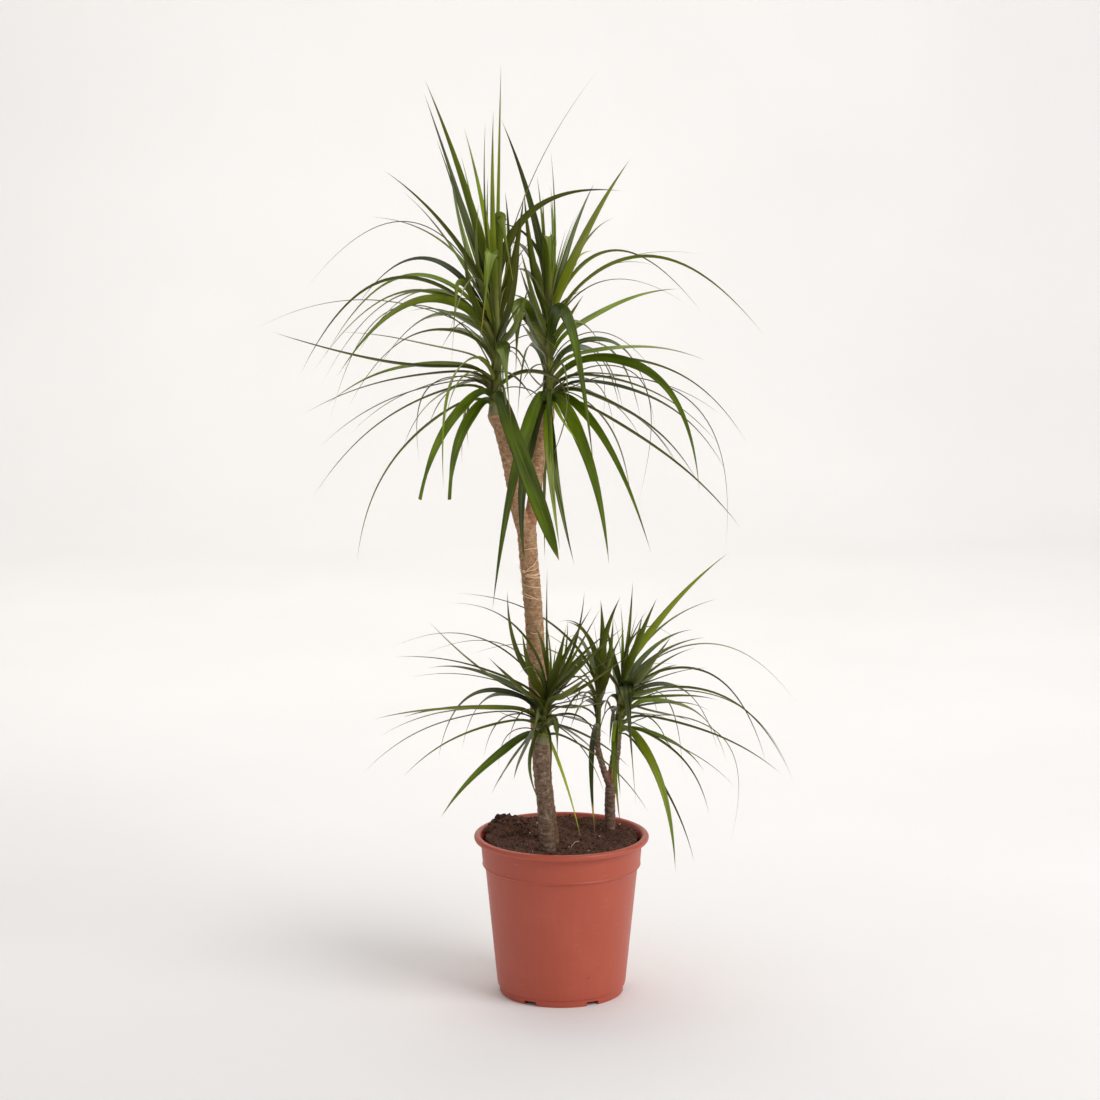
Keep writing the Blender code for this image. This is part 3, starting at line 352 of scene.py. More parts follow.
def add_node(tree: bpy.types.NodeTree, kind: str, inputs: dict | None = None, **settings) -> bpy.types.Node:
    """Adds a node with its settings, values and links.

    Args:
        tree: the node tree it goes into.
        kind: the node's type.
        inputs: a value, or an output socket to link from, for each input's name or number.
        settings: the node's own properties.

    Returns:
        The new node.
    """
    node = tree.nodes.new(kind)
    for name, value in settings.items():
        setattr(node, name, value)
    feed(tree, node, inputs or {})
    return node


def link_mesh(name: str, mesh: Mesh) -> Object:
    """Puts a mesh in the scene as an object of this name."""
    made = bpy.data.objects.new(name, mesh)
    bpy.context.scene.collection.objects.link(made)
    return made


def evaluated_mesh(obj: Object) -> Mesh:
    """A plain mesh of the object with its modifiers applied."""
    graph = bpy.context.evaluated_depsgraph_get()
    return bpy.data.meshes.new_from_object(obj.evaluated_get(graph), depsgraph=graph)


def keep(mesh: Mesh, name: str, values: Sequence[float]) -> None:
    """Keeps a value for each point of a mesh under a name."""
    mesh.attributes.new(name, "FLOAT", "POINT").data.foreach_set("value", [float(v) for v in values])


def faced_outwards(mesh: Mesh) -> None:
    """Merges what coincides and turns every face of closed shells outwards."""
    shape = bmesh.new()
    shape.from_mesh(mesh)
    bmesh.ops.remove_doubles(shape, verts=shape.verts, dist=0.002 * MM)
    bmesh.ops.recalc_face_normals(shape, faces=shape.faces)
    shape.to_mesh(mesh)
    shape.free()


def along(values: Sequence[float], share: float) -> float:
    """Reads a list of evenly spaced values at a share of its length."""
    place = share * (len(values) - 1)
    low = min(int(place), len(values) - 2)
    return values[low] + (values[low + 1] - values[low]) * (place - low)


def eased(low: float, high: float, value: float) -> float:
    """0 below low, 1 above high, and a smooth step between them."""
    share = min(1.0, max(0.0, (value - low) / (high - low)))
    return share * share * (3 - 2 * share)


def held(value: float, bounds: Span) -> float:
    """The value, held between two bounds."""
    return min(bounds[1], max(bounds[0], value))


def level(turn: float) -> Vector:
    """The level direction at an angle from the right."""
    return Vector((math.cos(turn), math.sin(turn), 0))


def climbing(turn: float, climb: float) -> Vector:
    """The direction at an angle from the right that climbs by an angle."""
    return level(turn) * math.cos(climb) + Vector((0, 0, math.sin(climb)))


def on_sight_line(right: float, up: float, depth: float) -> Vector:
    """A point of the layout, in metres, moved along its line of sight to a depth."""
    return EYE + (Vector((right, 0, up)) - EYE) * ((depth - EYE.y) / -EYE.y)


def placed(point: Sequence[float]) -> Vector:
    """A (right, depth, up) point in centimetres as a place in metres."""
    return on_sight_line(point[0] * CM, point[2] * CM, point[1] * CM)


class Lines:
    """Polylines with named values at their points, which a node tree turns into surfaces."""

    def __init__(self) -> None:
        """Starts with no line."""
        self.points: list[Vector] = []
        self.edges: list[tuple[int, int]] = []
        self.values: dict[str, list] = {}

    def add(self, points: Sequence[Vector], **values) -> None:
        """Adds one line.

        Args:
            points: its points in order.
            values: for each name, one value for the line or a list with one for each point.
        """
        start = len(self.points)
        self.points += points
        self.edges += [(start + i, start + i + 1) for i in range(len(points) - 1)]
        for name, value in values.items():
            spread = value if isinstance(value, list) else [value] * len(points)
            self.values.setdefault(name, []).extend(spread)

    def mesh(self, name: str) -> Mesh:
        """The lines as a mesh of edges with an attribute for each value."""
        mesh = bpy.data.meshes.new(name)
        mesh.from_pydata(self.points, self.edges, [])
        for key, values in self.values.items():
            if isinstance(values[0], Vector):
                layer = mesh.attributes.new(key, "FLOAT_VECTOR", "POINT")
                layer.data.foreach_set("vector", [c for value in values for c in value])
            else:
                keep(mesh, key, values)
        return mesh


class Wiring:
    """A node tree under construction. Its sums take numbers or sockets and give a socket."""

    tree: bpy.types.NodeTree

    def math(self, operation: str, *values: object) -> Socket:
        """The result of a sum."""
        return add_node(self.tree, "ShaderNodeMath", dict(enumerate(values)), operation=operation).outputs[0]

    def plus(self, *values: object) -> Socket:
        """Two values added."""
        return self.math("ADD", *values)

    def minus(self, *values: object) -> Socket:
        """The second value taken from the first."""
        return self.math("SUBTRACT", *values)

    def times(self, *values: object) -> Socket:
        """Two values multiplied."""
        return self.math("MULTIPLY", *values)

    def over(self, *values: object) -> Socket:
        """The first value divided by the second."""
        return self.math("DIVIDE", *values)

    def parts(self, vector: Socket) -> Sequence[Socket]:
        """The three parts of a vector."""
        return add_node(self.tree, "ShaderNodeSeparateXYZ", {0: vector}).outputs

    def noise(self, place: Socket, detail: float, scale: object = 1.0, **more) -> Socket:
        """Soft noise at a place."""
        inputs = {"Vector": place, "Scale": scale, "Detail": detail, **more}
        return add_node(self.tree, "ShaderNodeTexNoise", inputs).outputs[0]


class Recipe(Wiring):
    """A Geometry Nodes tree under construction, with named inputs."""

    def __init__(self, name: str) -> None:
        """Starts a tree whose first input is the geometry that it grows from."""
        self.tree = bpy.data.node_groups.new(name, "GeometryNodeTree")
        self.source = add_node(self.tree, "NodeGroupInput")
        self.identifiers: dict[str, str] = {}
        self.given = self.size("Geometry", "NodeSocketGeometry")
        self.tree.interface.new_socket(name="Geometry", in_out="OUTPUT", socket_type="NodeSocketGeometry")

    def size(self, name: str, kind: str = "NodeSocketFloat", default: object = None) -> Socket:
        """Adds a named input.

        Args:
            name: what it sets.
            kind: the socket's type.
            default: its value where none is given.

        Returns:
            The socket to link from.
        """
        item = self.tree.interface.new_socket(name=name, in_out="INPUT", socket_type=kind)
        if default is not None:
            item.default_value = default
        self.identifiers[name] = item.identifier
        return self.source.outputs[name]

    def add(self, kind: str, inputs: dict | None = None, **settings) -> Socket:
        """Adds a geometry node and gives its first output."""
        return add_node(self.tree, "GeometryNode" + kind, inputs, **settings).outputs[0]

    def vector(self, operation: str, *values: object, output: int = 0) -> Socket:
        """The result of a sum on vectors or sockets."""
        sums = add_node(self.tree, "ShaderNodeVectorMath", dict(enumerate(values)), operation=operation)
        return sums.outputs[output]

    def scaled(self, vector: Socket, by: object) -> Socket:
        """A vector times a number."""
        sums = add_node(self.tree, "ShaderNodeVectorMath", {0: vector, "Scale": by}, operation="SCALE")
        return sums.outputs[0]

    def point(self, x: object = 0.0, y: object = 0.0, z: object = 0.0) -> Socket:
        """A vector from its three parts."""
        return add_node(self.tree, "ShaderNodeCombineXYZ", {0: x, 1: y, 2: z}).outputs[0]

    def chance(self, low: object, high: object, seed: Socket) -> Socket:
        """A random number, or a random vector where the bounds are vectors."""
        whole = isinstance(high, tuple)
        first = 0 if whole else 2
        node = add_node(
            self.tree, "FunctionNodeRandomValue", {first: low, first + 1: high, "Seed": seed},
            data_type="FLOAT_VECTOR" if whole else "FLOAT")
        return node.outputs[0 if whole else 1]

    def read(self, name: str, data_type: str = "FLOAT") -> Socket:
        """The value of a named attribute."""
        return self.add("InputNamedAttribute", {"Name": name}, data_type=data_type)

    def stored(self, geometry: Socket, name: str, value: Socket, data_type: str = "FLOAT_VECTOR",
               domain: str = "POINT") -> Socket:
        """The geometry with a value kept under a name."""
        return self.add(
            "StoreNamedAttribute", {"Geometry": geometry, "Name": name, "Value": value},
            data_type=data_type, domain=domain)

    def finish(self, geometry: Socket, finish: Material) -> None:
        """Ends the tree with real geometry in one finish."""
        real = self.add("RealizeInstances", {0: geometry})
        smooth = self.add("SetShadeSmooth", {"Geometry": real})
        add_node(self.tree, "NodeGroupOutput", {
            0: self.add("SetMaterial", {"Geometry": smooth, "Material": finish})})

    def grow(self, name: str, base: Mesh, **sizes) -> Object:
        """Runs the tree on a mesh.

        Args:
            name: the new object's name.
            base: the mesh that the tree starts from.
            sizes: a value for each input that departs from its default, with _ for a space in its name.

        Returns:
            An object with a plain mesh and no modifier.
        """
        made = link_mesh(name, base)
        modifier = made.modifiers.new(self.tree.name, "NODES")
        modifier.node_group = self.tree
        for key, value in sizes.items():
            modifier[self.identifiers[key.replace("_", " ")]] = value
        made.data = evaluated_mesh(made)
        made.modifiers.clear()
        made.data.name = name
        return made


def ribbon_recipe(finish: Material) -> Recipe:
    """A tree that gives each line a closed lens-shaped section: blades, stems, fibres and raffia.

    The lines' points hold centre, side, face, half_width, half_thick, groove, share, along and seed.

    Args:
        finish: the material.

    Returns:
        The tree.
    """
    recipe = Recipe("Ribbon along lines")
    points = recipe.size("Section points", "NodeSocketInt", 14)
    wave = recipe.size("Margin wave", default=0.5 * MM)
    wave_length = recipe.size("Wave length", default=30 * MM)
    full_wave = recipe.size("Half width of a full wave", default=5 * MM)
    side, face, centre = (recipe.read(name, "FLOAT_VECTOR") for name in ("side", "face", "centre"))
    half_width, distance, seed = recipe.read("half_width"), recipe.read("along"), recipe.read("seed")

    lines = recipe.add("MeshToCurve", {"Mesh": recipe.given})
    circle = recipe.add("CurvePrimitiveCircle", {"Resolution": points, "Radius": 1.0})
    marked = recipe.stored(circle, "section", recipe.add("InputPosition"))
    skin = recipe.add("CurveToMesh", {"Curve": lines, "Profile Curve": marked, "Fill Caps": True})
    section = recipe.parts(recipe.read("section", "FLOAT_VECTOR"))
    across, above = section[0], section[1]
    aside = recipe.times(across, half_width)
    lift = recipe.times(recipe.math("ABSOLUTE", aside), recipe.read("groove"))
    crest = recipe.times(above, recipe.read("half_thick"))

    place = recipe.point(
        recipe.over(distance, wave_length), across, recipe.times(seed, 50.0))
    ripple = recipe.times(recipe.minus(recipe.noise(place, 1.0), 0.5), wave)
    least = recipe.math("MINIMUM", 1.0, recipe.over(half_width, full_wave))
    ruffle = recipe.times(
        ripple, recipe.times(recipe.math("ABSOLUTE", across), least))
    rise = recipe.plus(recipe.plus(lift, crest), ruffle)

    moved = recipe.vector("ADD", recipe.scaled(side, aside), recipe.scaled(face, rise))
    shaped = recipe.add("SetPosition", {"Geometry": skin, "Position": recipe.vector("ADD", moved, centre)})
    pattern = recipe.point(aside, distance, recipe.times(seed, 3.0))
    mapped = recipe.stored(shaped, "blade_place", pattern)
    recipe.finish(recipe.add("MergeByDistance", {"Geometry": mapped, "Distance": 0.002 * MM}), finish)
    return recipe


# Finishes


class Shading(Wiring):
    """A material under construction: its shader and the nodes that feed it."""

    def __init__(self, name: str) -> None:
        """Starts a plain material."""
        self.material = bpy.data.materials.new(name)
        self.material.use_nodes = True
        self.tree = self.material.node_tree

    def add(self, kind: str, inputs: dict | None = None, **settings) -> bpy.types.Node:
        """Adds a shader node."""
        return add_node(self.tree, "ShaderNode" + kind, inputs, **settings)

    def feed(self, inputs: dict) -> None:
        """Sets the shader's own sockets, each to a value or a link."""
        feed(self.tree, self.tree.nodes["Principled BSDF"], inputs)

    def coords(self) -> Socket:
        """Places on the object's own axes."""
        return self.add("TexCoord").outputs["Object"]

    def read(self, name: str, output: str = "Fac") -> Socket:
        """An attribute of the mesh."""
        return self.add("Attribute", attribute_name=name).outputs[output]

    def stretched(self, place: Socket, *sizes: float, turned: Sequence[float] = (0, 0, 0)) -> Socket:
        """A place measured in these sizes, one for each axis."""
        scale = [1 / size for size in sizes]
        return self.add("Mapping", {"Vector": place, "Rotation": turned, "Scale": scale}).outputs[0]

    def around(self, value: Socket, strength: float) -> Socket:
        """Noise moved to lie evenly about 0, at a strength."""
        return self.times(self.minus(value, 0.5), strength)

    def blended(self, share: float, first: Socket, second: Socket) -> Socket:
        """The first value with a share of the second."""
        return self.add("Mix", {0: share, 2: first, 3: second}).outputs[0]

    def layered(self, colour: Socket, *layers: tuple[Socket, object]) -> Socket:
        """A colour with further ones laid over it.

        Args:
            colour: the lowest colour.
            layers: a (share, hex colour or socket) for each layer, the lowest first.

        Returns:
            The mixed colour.
        """
        for share, tint in layers:
            tint = srgb(tint) if isinstance(tint, str) else tint
            colour = self.add("Mix", {"Factor": share, 6: colour, 7: tint}, data_type="RGBA").outputs[2]
        return colour

    def spread(self, value: Socket, low: float, high: float, most: float = 1.0, least: float = 0.0,
               kind: str = "LINEAR") -> Socket:
        """Least where the value is at low, most where it is at high, and between them by kind."""
        inputs = {"Value": value, "From Min": low, "From Max": high, "To Min": least, "To Max": most}
        return self.add("MapRange", inputs, interpolation_type=kind).outputs[0]

    def stepped(self, value: Socket, low: float, high: float, most: float = 1.0) -> Socket:
        """0 where the value is at low and the most where it is at high, eased between."""
        return self.spread(value, low, high, most, kind="SMOOTHSTEP")

    def shaded(self, value: Socket, stops: Stops) -> Socket:
        """The colour of a value.

        Args:
            value: the value.
            stops: (value, hex colour) pairs in rising order.

        Returns:
            The colour.
        """
        node = self.add("ValToRGB", {"Fac": value})
        elements = node.color_ramp.elements
        while len(elements) < len(stops):
            elements.new(1)
        for element, (place, code) in zip(elements, stops):
            element.position = place
            element.color = srgb(code)
        return node.outputs[0]

    def bump(self, height: Socket, strength: float, depth: float) -> Socket:
        """The surface's direction where it is roughened by a height."""
        return self.add("Bump", {"Height": height, "Strength": strength, "Distance": depth}).outputs[0]


@dataclass(frozen=True)
class Finish:
    """A surface's material: what it is made of and how it was made."""

    name: str
    roughness: float
    ior: float = 1.5

    def start(self) -> Shading:
        """A new material with its plain values."""
        made = Shading(self.name)
        made.feed({"Roughness": self.roughness, "IOR": self.ior, "Metallic": 0})
        return made


@dataclass(frozen=True)
class LeafBlade(Finish):
    """Living dracaena leaf: a finely veined skin with a thin wax over soft green tissue.

    A broad pale sheen is painted into its colour on the outer bend of some blades, and the parallel
    veins break it into fine lengthwise streaks. The margins carry a thin reddish line.
    """

    name: str = "Waxy dracaena leaf, grown"
    roughness: float = 0.35
    ior: float = 1.45
    # Greens from dark, for old leaves and painted shade, to bright, for young leaves and painted light.
    tones_and_shade: Stops = (
        (0.0, "#212a00"), (0.3, "#3a4b00"), (0.6, "#5b7200"), (1.0, "#97a81c"),
    )
    dried: Stops = ((0.3, "#8d8672"), (0.55, "#a9a08a"), (0.8, "#c0b79d"))
    # The pale tint of the painted sheen.
    bloom: str = "#9da66b"
    underside: str = "#646a1c"
    rib: str = "#7d8a30"
    sheath: str = "#8f9350"
    margin: str = "#4a2a1c"
    yellowed: str = "#a58a3c"
    browned: str = "#6e4d30"
    vein: float = 1.6 * MM
    streak: float = 60 * MM
    cloud_width: float = 12 * MM
    cloud_length: float = 90 * MM
    sheen: float = 0.18
    flesh: float = 0.12
    flesh_depth: float = 1.2 * MM

    def build(self) -> Material:
        """The material."""
        made = self.start()
        place = made.read("blade_place", "Vector")
        section = made.add("SeparateXYZ", {0: made.read("section", "Vector")}).outputs
        share, edge = made.read("share"), made.math("ABSOLUTE", section[0])
        lines = made.noise(made.stretched(place, self.vein, self.streak, 1), 3)
        cloud = made.noise(made.stretched(place, self.cloud_width, self.cloud_length, 1), 2)
        # Each leaf's lightness paints shade on leaves that stand in shade and light on lit ones; a random
        # cloud lies over it.
        light = made.plus(made.read("tone"), made.around(cloud, 0.8))
        light = made.plus(light, made.around(lines, 0.34))
        past_tip = made.minus(share, made.read("tip_start"))
        ragged = made.plus(past_tip, made.around(lines, 0.03))
        colour = made.layered(
            made.shaded(light, self.tones_and_shade),
            # A pale painted sheen on the outer bend of some blades, streaked by the veins.
            (made.times(made.read("bloom"), made.stepped(lines, 0.3, 0.62)), self.bloom),
            (made.stepped(section[1], 0.05, -0.25, 0.45), self.underside),
            (made.stepped(edge, 0.12, 0.0, 0.22), self.rib),
            (made.stepped(share, 0.075, 0.01, 0.75), self.sheath),
            (made.stepped(edge, 0.86, 0.97, 0.7), self.margin),
            (made.stepped(ragged, -0.03, 0.02), self.yellowed),
            (made.stepped(ragged, 0.02, 0.1), self.browned),
            (made.read("dry"), made.shaded(lines, self.dried)),
        )
        made.feed({
            "Base Color": colour,
            "Roughness": made.spread(lines, 0.3, 0.7, self.roughness + 0.1, self.roughness - 0.06),
            "Normal": made.bump(lines, 0.35, 0.25 * MM),
            "Specular IOR Level": self.sheen,
            "Subsurface Weight": self.flesh,
            "Subsurface Radius": (0.6, 1.0, 0.2),
            "Subsurface Scale": self.flesh_depth,
        })
        return made.material


@dataclass(frozen=True)
class Bark(Finish):
    """Bark of a dracaena cane: dry cork with the thin raised scars of shed leaves.

    The cork gives a dead, patchy surface, and each scar a dark line with a pale upper lip.
    """

    name: str = "Corky dracaena bark, grown"
    roughness: float = 0.86
    ior: float = 1.45
    colours: Stops = (
        (0.3, "#6e4b33"), (0.43, "#9a7453"), (0.57, "#b59370"), (0.72, "#dcc5a3"),
    )
    line: str = "#6b4733"
    fleck: str = "#7c4030"
    # The tint that darkens the bark towards the soil.
    lower_tint: str = "#5a4231"
    fork: str = "#9a5038"
    patch: float = 5 * MM
    fissure: float = 1.3 * MM
    fissure_stretch: float = 0.3
    fleck_size: float = 3.2 * MM

    def build(self) -> Material:
        """The material."""
        made = self.start()
        coords = made.coords()
        patches = made.noise(coords, 5, 1 / self.patch, Roughness=0.62)
        wide = self.fissure / self.fissure_stretch
        fissures = made.noise(made.stretched(coords, wide, wide, self.fissure), 3)
        worn = made.blended(0.45, patches, fissures)
        colour = made.layered(
            made.shaded(worn, self.colours),
            (made.spread(made.noise(coords, 3, 1 / self.fleck_size), 0.6, 0.7, 0.55), self.fleck),
            (made.read("scar"), self.line),
            # Darker towards the soil.
            (made.read("old"), self.lower_tint),
            (made.read("collar"), self.fork),
        )
        made.feed({"Base Color": colour, "Normal": made.bump(worn, 0.8, 0.5 * MM)})
        return made.material


@dataclass(frozen=True)
class Moulded(Finish):
    """Injection-moulded polypropylene: an even pigment with a faint satin skin.

    The mould leaves a very slight waviness, and handling leaves pale scuffs and specks of peat.
    """

    name: str = "Polypropylene, injection moulded"
    roughness: float = 0.42
    ior: float = 1.49
    shades: Stops = ((0.3, "#b04e37"), (0.5, "#b3503a"), (0.72, "#b85741"))
    scuff: str = "#d7a595"
    speck: str = "#3c2318"
    cloud: float = 60 * MM
    streak: float = 5 * MM
    scratch: float = 0.8 * MM
    scratch_length: float = 16 * MM
    speck_spacing: float = 17 * MM
    grain: float = 1.4 * MM

    def build(self) -> Material:
        """The material."""
        made = self.start()
        coords = made.coords()
        streaks = made.noise(made.stretched(coords, self.streak, self.streak, self.cloud), 4)
        pigment = made.blended(0.3, made.noise(coords, 2, 1 / self.cloud), streaks)
        drawn = made.stretched(
            coords, self.scratch_length, self.scratch_length, self.scratch, turned=(0.3, 0.5, 0.2))
        cells = made.add(
            "TexVoronoi", {"Vector": coords, "Scale": 1 / self.speck_spacing, "Randomness": 1.0}).outputs
        few = made.math("GREATER_THAN", made.add("SeparateColor", {0: cells["Color"]}).outputs[0], 0.86)
        colour = made.layered(
            made.shaded(pigment, self.shades),
            (made.spread(made.noise(drawn, 2), 0.68, 0.78, 0.28), self.scuff),
            (made.times(made.spread(cells["Distance"], 0.075, 0.04, 0.85), few), self.speck),
        )
        made.feed({
            "Base Color": colour,
            "Roughness": made.spread(pigment, 0.3, 0.7, self.roughness + 0.09, self.roughness - 0.05),
            "Normal": made.bump(made.noise(coords, 2, 1 / self.grain), 0.12, 0.15 * MM),
        })
        return made.material


@dataclass(frozen=True)
class Grained(Finish):
    """Loose matter of many small grains, such as milled peat or expanded perlite.

    Every grain has a shade of its own, and the fine dust on it leaves no gloss.
    """

    shades: Stops = ((0.2, "#26140c"), (0.5, "#4f3021"), (0.8, "#80553b"))
    grain: float = 2.2 * MM

    def build(self) -> Material:
        """The material."""
        made = self.start()
        noise = made.noise(made.coords(), 6, 1 / self.grain, Roughness=0.7)
        colour = made.shaded(made.plus(noise, made.read("shade")), self.shades)
        made.feed({"Base Color": colour, "Normal": made.bump(noise, 0.9, 0.6 * MM)})
        return made.material


@dataclass(frozen=True)
class Fibre(Finish):
    """Dry plant fibre, such as split raffia: straw-coloured, with fine lengthwise threads."""

    name: str = "Raffia, split and dried"
    roughness: float = 0.7
    shades: Stops = ((0.25, "#c8976c"), (0.5, "#e3bb90"), (0.8, "#f7e2c8"))
    thread: float = 0.4 * MM
    streak: float = 12 * MM

    def build(self) -> Material:
        """The material."""
        made = self.start()
        place = made.stretched(made.read("blade_place", "Vector"), self.thread, self.streak, 1)
        threads = made.noise(place, 3)
        made.feed({
            "Base Color": made.shaded(threads, self.shades), "Normal": made.bump(threads, 0.5, 0.2 * MM)})
        return made.material


@dataclass(frozen=True)
class Painted(Finish):
    """Matt paint on board, as on a studio's seamless sweep."""

    name: str = "Painted board, matt"
    roughness: float = 0.9
    shades: Stops = ((0.3, "#edecec"), (0.7, "#f1f0f0"))
    cloud: float = 2 / 3

    def build(self) -> Material:
        """The material."""
        made = self.start()
        cloud = made.noise(made.coords(), 2, 1 / self.cloud)
        made.feed({"Base Color": made.shaded(cloud, self.shades)})
        return made.material


TAN_BARK = Bark()
GREY_BARK = replace(
    TAN_BARK, name="Corky dracaena bark, older",
    colours=((0.3, "#3a281b"), (0.44, "#62493a"), (0.57, "#86705c"), (0.72, "#bfae9a")), line="#a8937c",
    fleck="#3c281d",
)
RIGHT_BARK = replace(
    GREY_BARK, name="Corky dracaena bark, reddish",
    colours=((0.3, "#40291f"), (0.44, "#6a4e40"), (0.57, "#8d7464"), (0.72, "#c2b0a2")),
)
PEAT = Grained("Milled peat, heaped", 0.95)
PERLITE = Grained(
    "Perlite, expanded", 0.9, shades=((0.2, "#cfc8bb"), (0.5, "#e9e4da"), (0.8, "#f8f6f0")), grain=1.2 * MM)
PEAT_FIBRE = Fibre("Peat fibre, milled", 0.9, shades=((0.25, "#4e3220"), (0.5, "#73502f"), (0.8, "#9c774a")))


# Leaves

# How a living blade departs from its plain solid: a folded one is wider and sharply creased, and an
# arching one slimmer where it stands more edgewise. Both rise more steeply at first.
FOLDED_WIDTH, FOLDED_TURN, FOLDED_CREASE, FOLDED_STEEPNESS = 1.05, 0.5, 9, 0.04
EDGEWISE_WIDTH, FACING_WIDTH, ARCHING_TURN, ARCHING_STEEPNESS = 0.4, 0.35, 2.2, 0.055


@dataclass
class Leaf:
    """One leaf: where it shows on the layout, and how it is made."""

    mid: Vector
    tip: Vector
    reach: float
    folded: bool
    width: float
    facing: float
    tone: ToneAndShade = ToneAndShade.GREEN
    end: End = End.FINE
    line: tuple[Vector, Vector, Vector] = field(default_factory=tuple)
    crease: float = 3.5
    steepness: float = 0.0
    steep_share: float = 0.12

    def point(self) -> Callable[[float], Vector]:
        """A function that gives the centreline's point at a share of the leaf.

        Returns:
            For an arching leaf a parabola through its middle, for a folded one a conic that turns there.
        """
        root, middle, tip = self.line
        length = (middle - root).length + (tip - middle).length
        if self.folded:
            weight, bend = self.crease, middle
        else:
            reach = (middle - root).length
            share = min(0.65, max(0.35, reach / (reach + (tip - middle).length)))
            weight = 1
            bend = (middle - root * (1 - share) ** 2 - tip * share ** 2) / (2 * share * (1 - share))

        def at(t: float) -> Vector:
            """The centreline's point."""
            parts = ((1 - t) ** 2, 2 * weight * t * (1 - t), t ** 2)
            lift = self.steepness * length * t / self.steep_share * math.exp(1 - t / self.steep_share)
            return (root * parts[0] + bend * parts[1] + tip * parts[2]) / sum(parts) + Vector((0, 0, lift))

        return at

    def slimmed(self) -> "Leaf":
        """The living blade: slimmer than its plain solid, steeper at its base and seen more edgewise."""
        if self.folded:
            return replace(
                self, width=FOLDED_WIDTH * self.width, facing=self.facing ** FOLDED_TURN,
                crease=FOLDED_CREASE, steepness=FOLDED_STEEPNESS)
        width = self.width * (EDGEWISE_WIDTH + FACING_WIDTH * self.facing)
        return replace(self, width=width, facing=self.facing ** ARCHING_TURN, steepness=ARCHING_STEEPNESS)

    def frames(self, stations: Sequence[float]) -> list[tuple[Vector, Vector, Vector]]:
        """The blade's centre, sideways and upward directions.

        Args:
            stations: the shares of the leaf to give them at.

        Returns:
            A (centre, side, face) for each share.
        """
        point = self.point()
        outward = self.line[2] - self.line[0]
        flat = Vector((-outward.y, outward.x, 0)) if outward.xy.length > MM else Vector((0, 1, 0))
        shown = flat
        found = []
        for share in stations:
            lead = (point(min(1, share + 0.02)) - point(max(0, share - 0.02))).normalized()
            flat = (flat - lead * flat.dot(lead)).normalized()
            faced = lead.cross(Vector((0, 1, 0)))
            if faced.length > 0.1:
                shown = faced.normalized() if faced.dot(shown) >= 0 else -faced.normalized()
            side = flat.lerp(shown, self.facing)
            side = (side - lead * side.dot(lead)).normalized()
            found.append((point(share), side, lead.cross(side)))
        if sum(face.z for _, _, face in found) < 0:
            found = [(place, -side, -face) for place, side, face in found]
        return found


def solid_tree(objects: Sequence[Object]) -> BVHTree:
    """A search tree over the triangles of these objects."""
    points, faces = [], []
    for obj in objects:
        start = len(points)
        points += [v.co.copy() for v in obj.data.vertices]
        obj.data.calc_loop_triangles()
        faces += [[start + i for i in t.vertices] for t in obj.data.loop_triangles]
    return BVHTree.FromPolygons(points, faces)


def bulging(points: Sequence[Vector], corners: Sequence[int]) -> list[tuple[int, ...]]:
    """Splits a four-sided wall into two triangles so that it bulges outwards.

    Args:
        points: the blade's points.
        corners: the wall's corners in order, as places in that list.

    Returns:
        The two triangles.
    """
    a, b, c, d = (points[i] for i in corners)
    if (a + c - b - d).dot((c - a).cross(d - b)) > 0:
        order = (0, 1, 2), (0, 2, 3)
    else:
        order = (0, 1, 3), (1, 2, 3)
    return [tuple(corners[i] for i in triangle) for triangle in order]


@dataclass
class TestBlade:
    """The coarse blade that finds a leaf its place, clear of what stands there already."""

    leaf: Leaf
    stations: tuple[float, ...] = (0, 0.22, 0.42, 0.58, 0.78)
    widths: tuple[float, ...] = (0.6, 0.85, 1, 0.97, 0.86, 0.68, 0.42, 0)
    keel: float = 1.4 * MM
    tip_keel: float = 0.7 * MM
    outer_station: int = 2

    def __post_init__(self) -> None:
        """Builds the search trees of the whole blade and of its outer part."""
        points, faces = [], []
        for share, (place, side, face) in zip(self.stations, self.leaf.frames(self.stations)):
            half = self.leaf.width / 2 * along(self.widths, share)
            keel = self.keel + (self.tip_keel - self.keel) * share
            points += [place - side * half, place + side * half, place - face * keel]
        edges = ((1, 0), (2, 1), (0, 2))
        last = len(points) - 3
        for low in range(0, last, 3):
            for a, b in edges:
                faces += bulging(points, (low + a, low + b, low + b + 3, low + a + 3))
        faces += [(last + a, last + b, last + 3) for a, b in edges]
        faces.append((0, 1, 2))
        points.append(self.leaf.line[2])
        outer = [f for f in faces if min(f) >= 3 * self.outer_station]
        self.whole = BVHTree.FromPolygons(points, faces)
        self.outer = BVHTree.FromPolygons(points, outer)


@dataclass(frozen=True)
class Habit:
    """How leaves stand all round a crown, from upright young ones to drooping old ones.

    Climbs and droops are in degrees, and the other values are shares.
    """

    steepest: float = 76
    fallen: float = 74
    climb_scatter: float = 9
    turn_scatter: float = 0.3
    length: Span = (0.62, 0.98)
    shortened: float = 0.42
    short_climb: Span = (35, 75)
    long_every: int = 3
    half_grown: float = 0.5
    least_droop: float = 14
    droop: float = 86
    droop_pace: float = 1.6
    droop_scatter: Span = (0.6, 1.1)
    bend: float = 0.48
    young: float = 0.4

    def rise(self, age: float, draw: random.Random) -> float:
        """How steeply a leaf of an age climbs."""
        return self.steepest - self.fallen * age + draw.uniform(-self.climb_scatter, self.climb_scatter)

    def drooping(self, age: float, draw: random.Random) -> float:
        """How far a leaf of an age bends down, as an angle."""
        share = min(1, self.droop_pace * age) * draw.uniform(*self.droop_scatter)
        return math.radians(self.least_droop + self.droop * share)


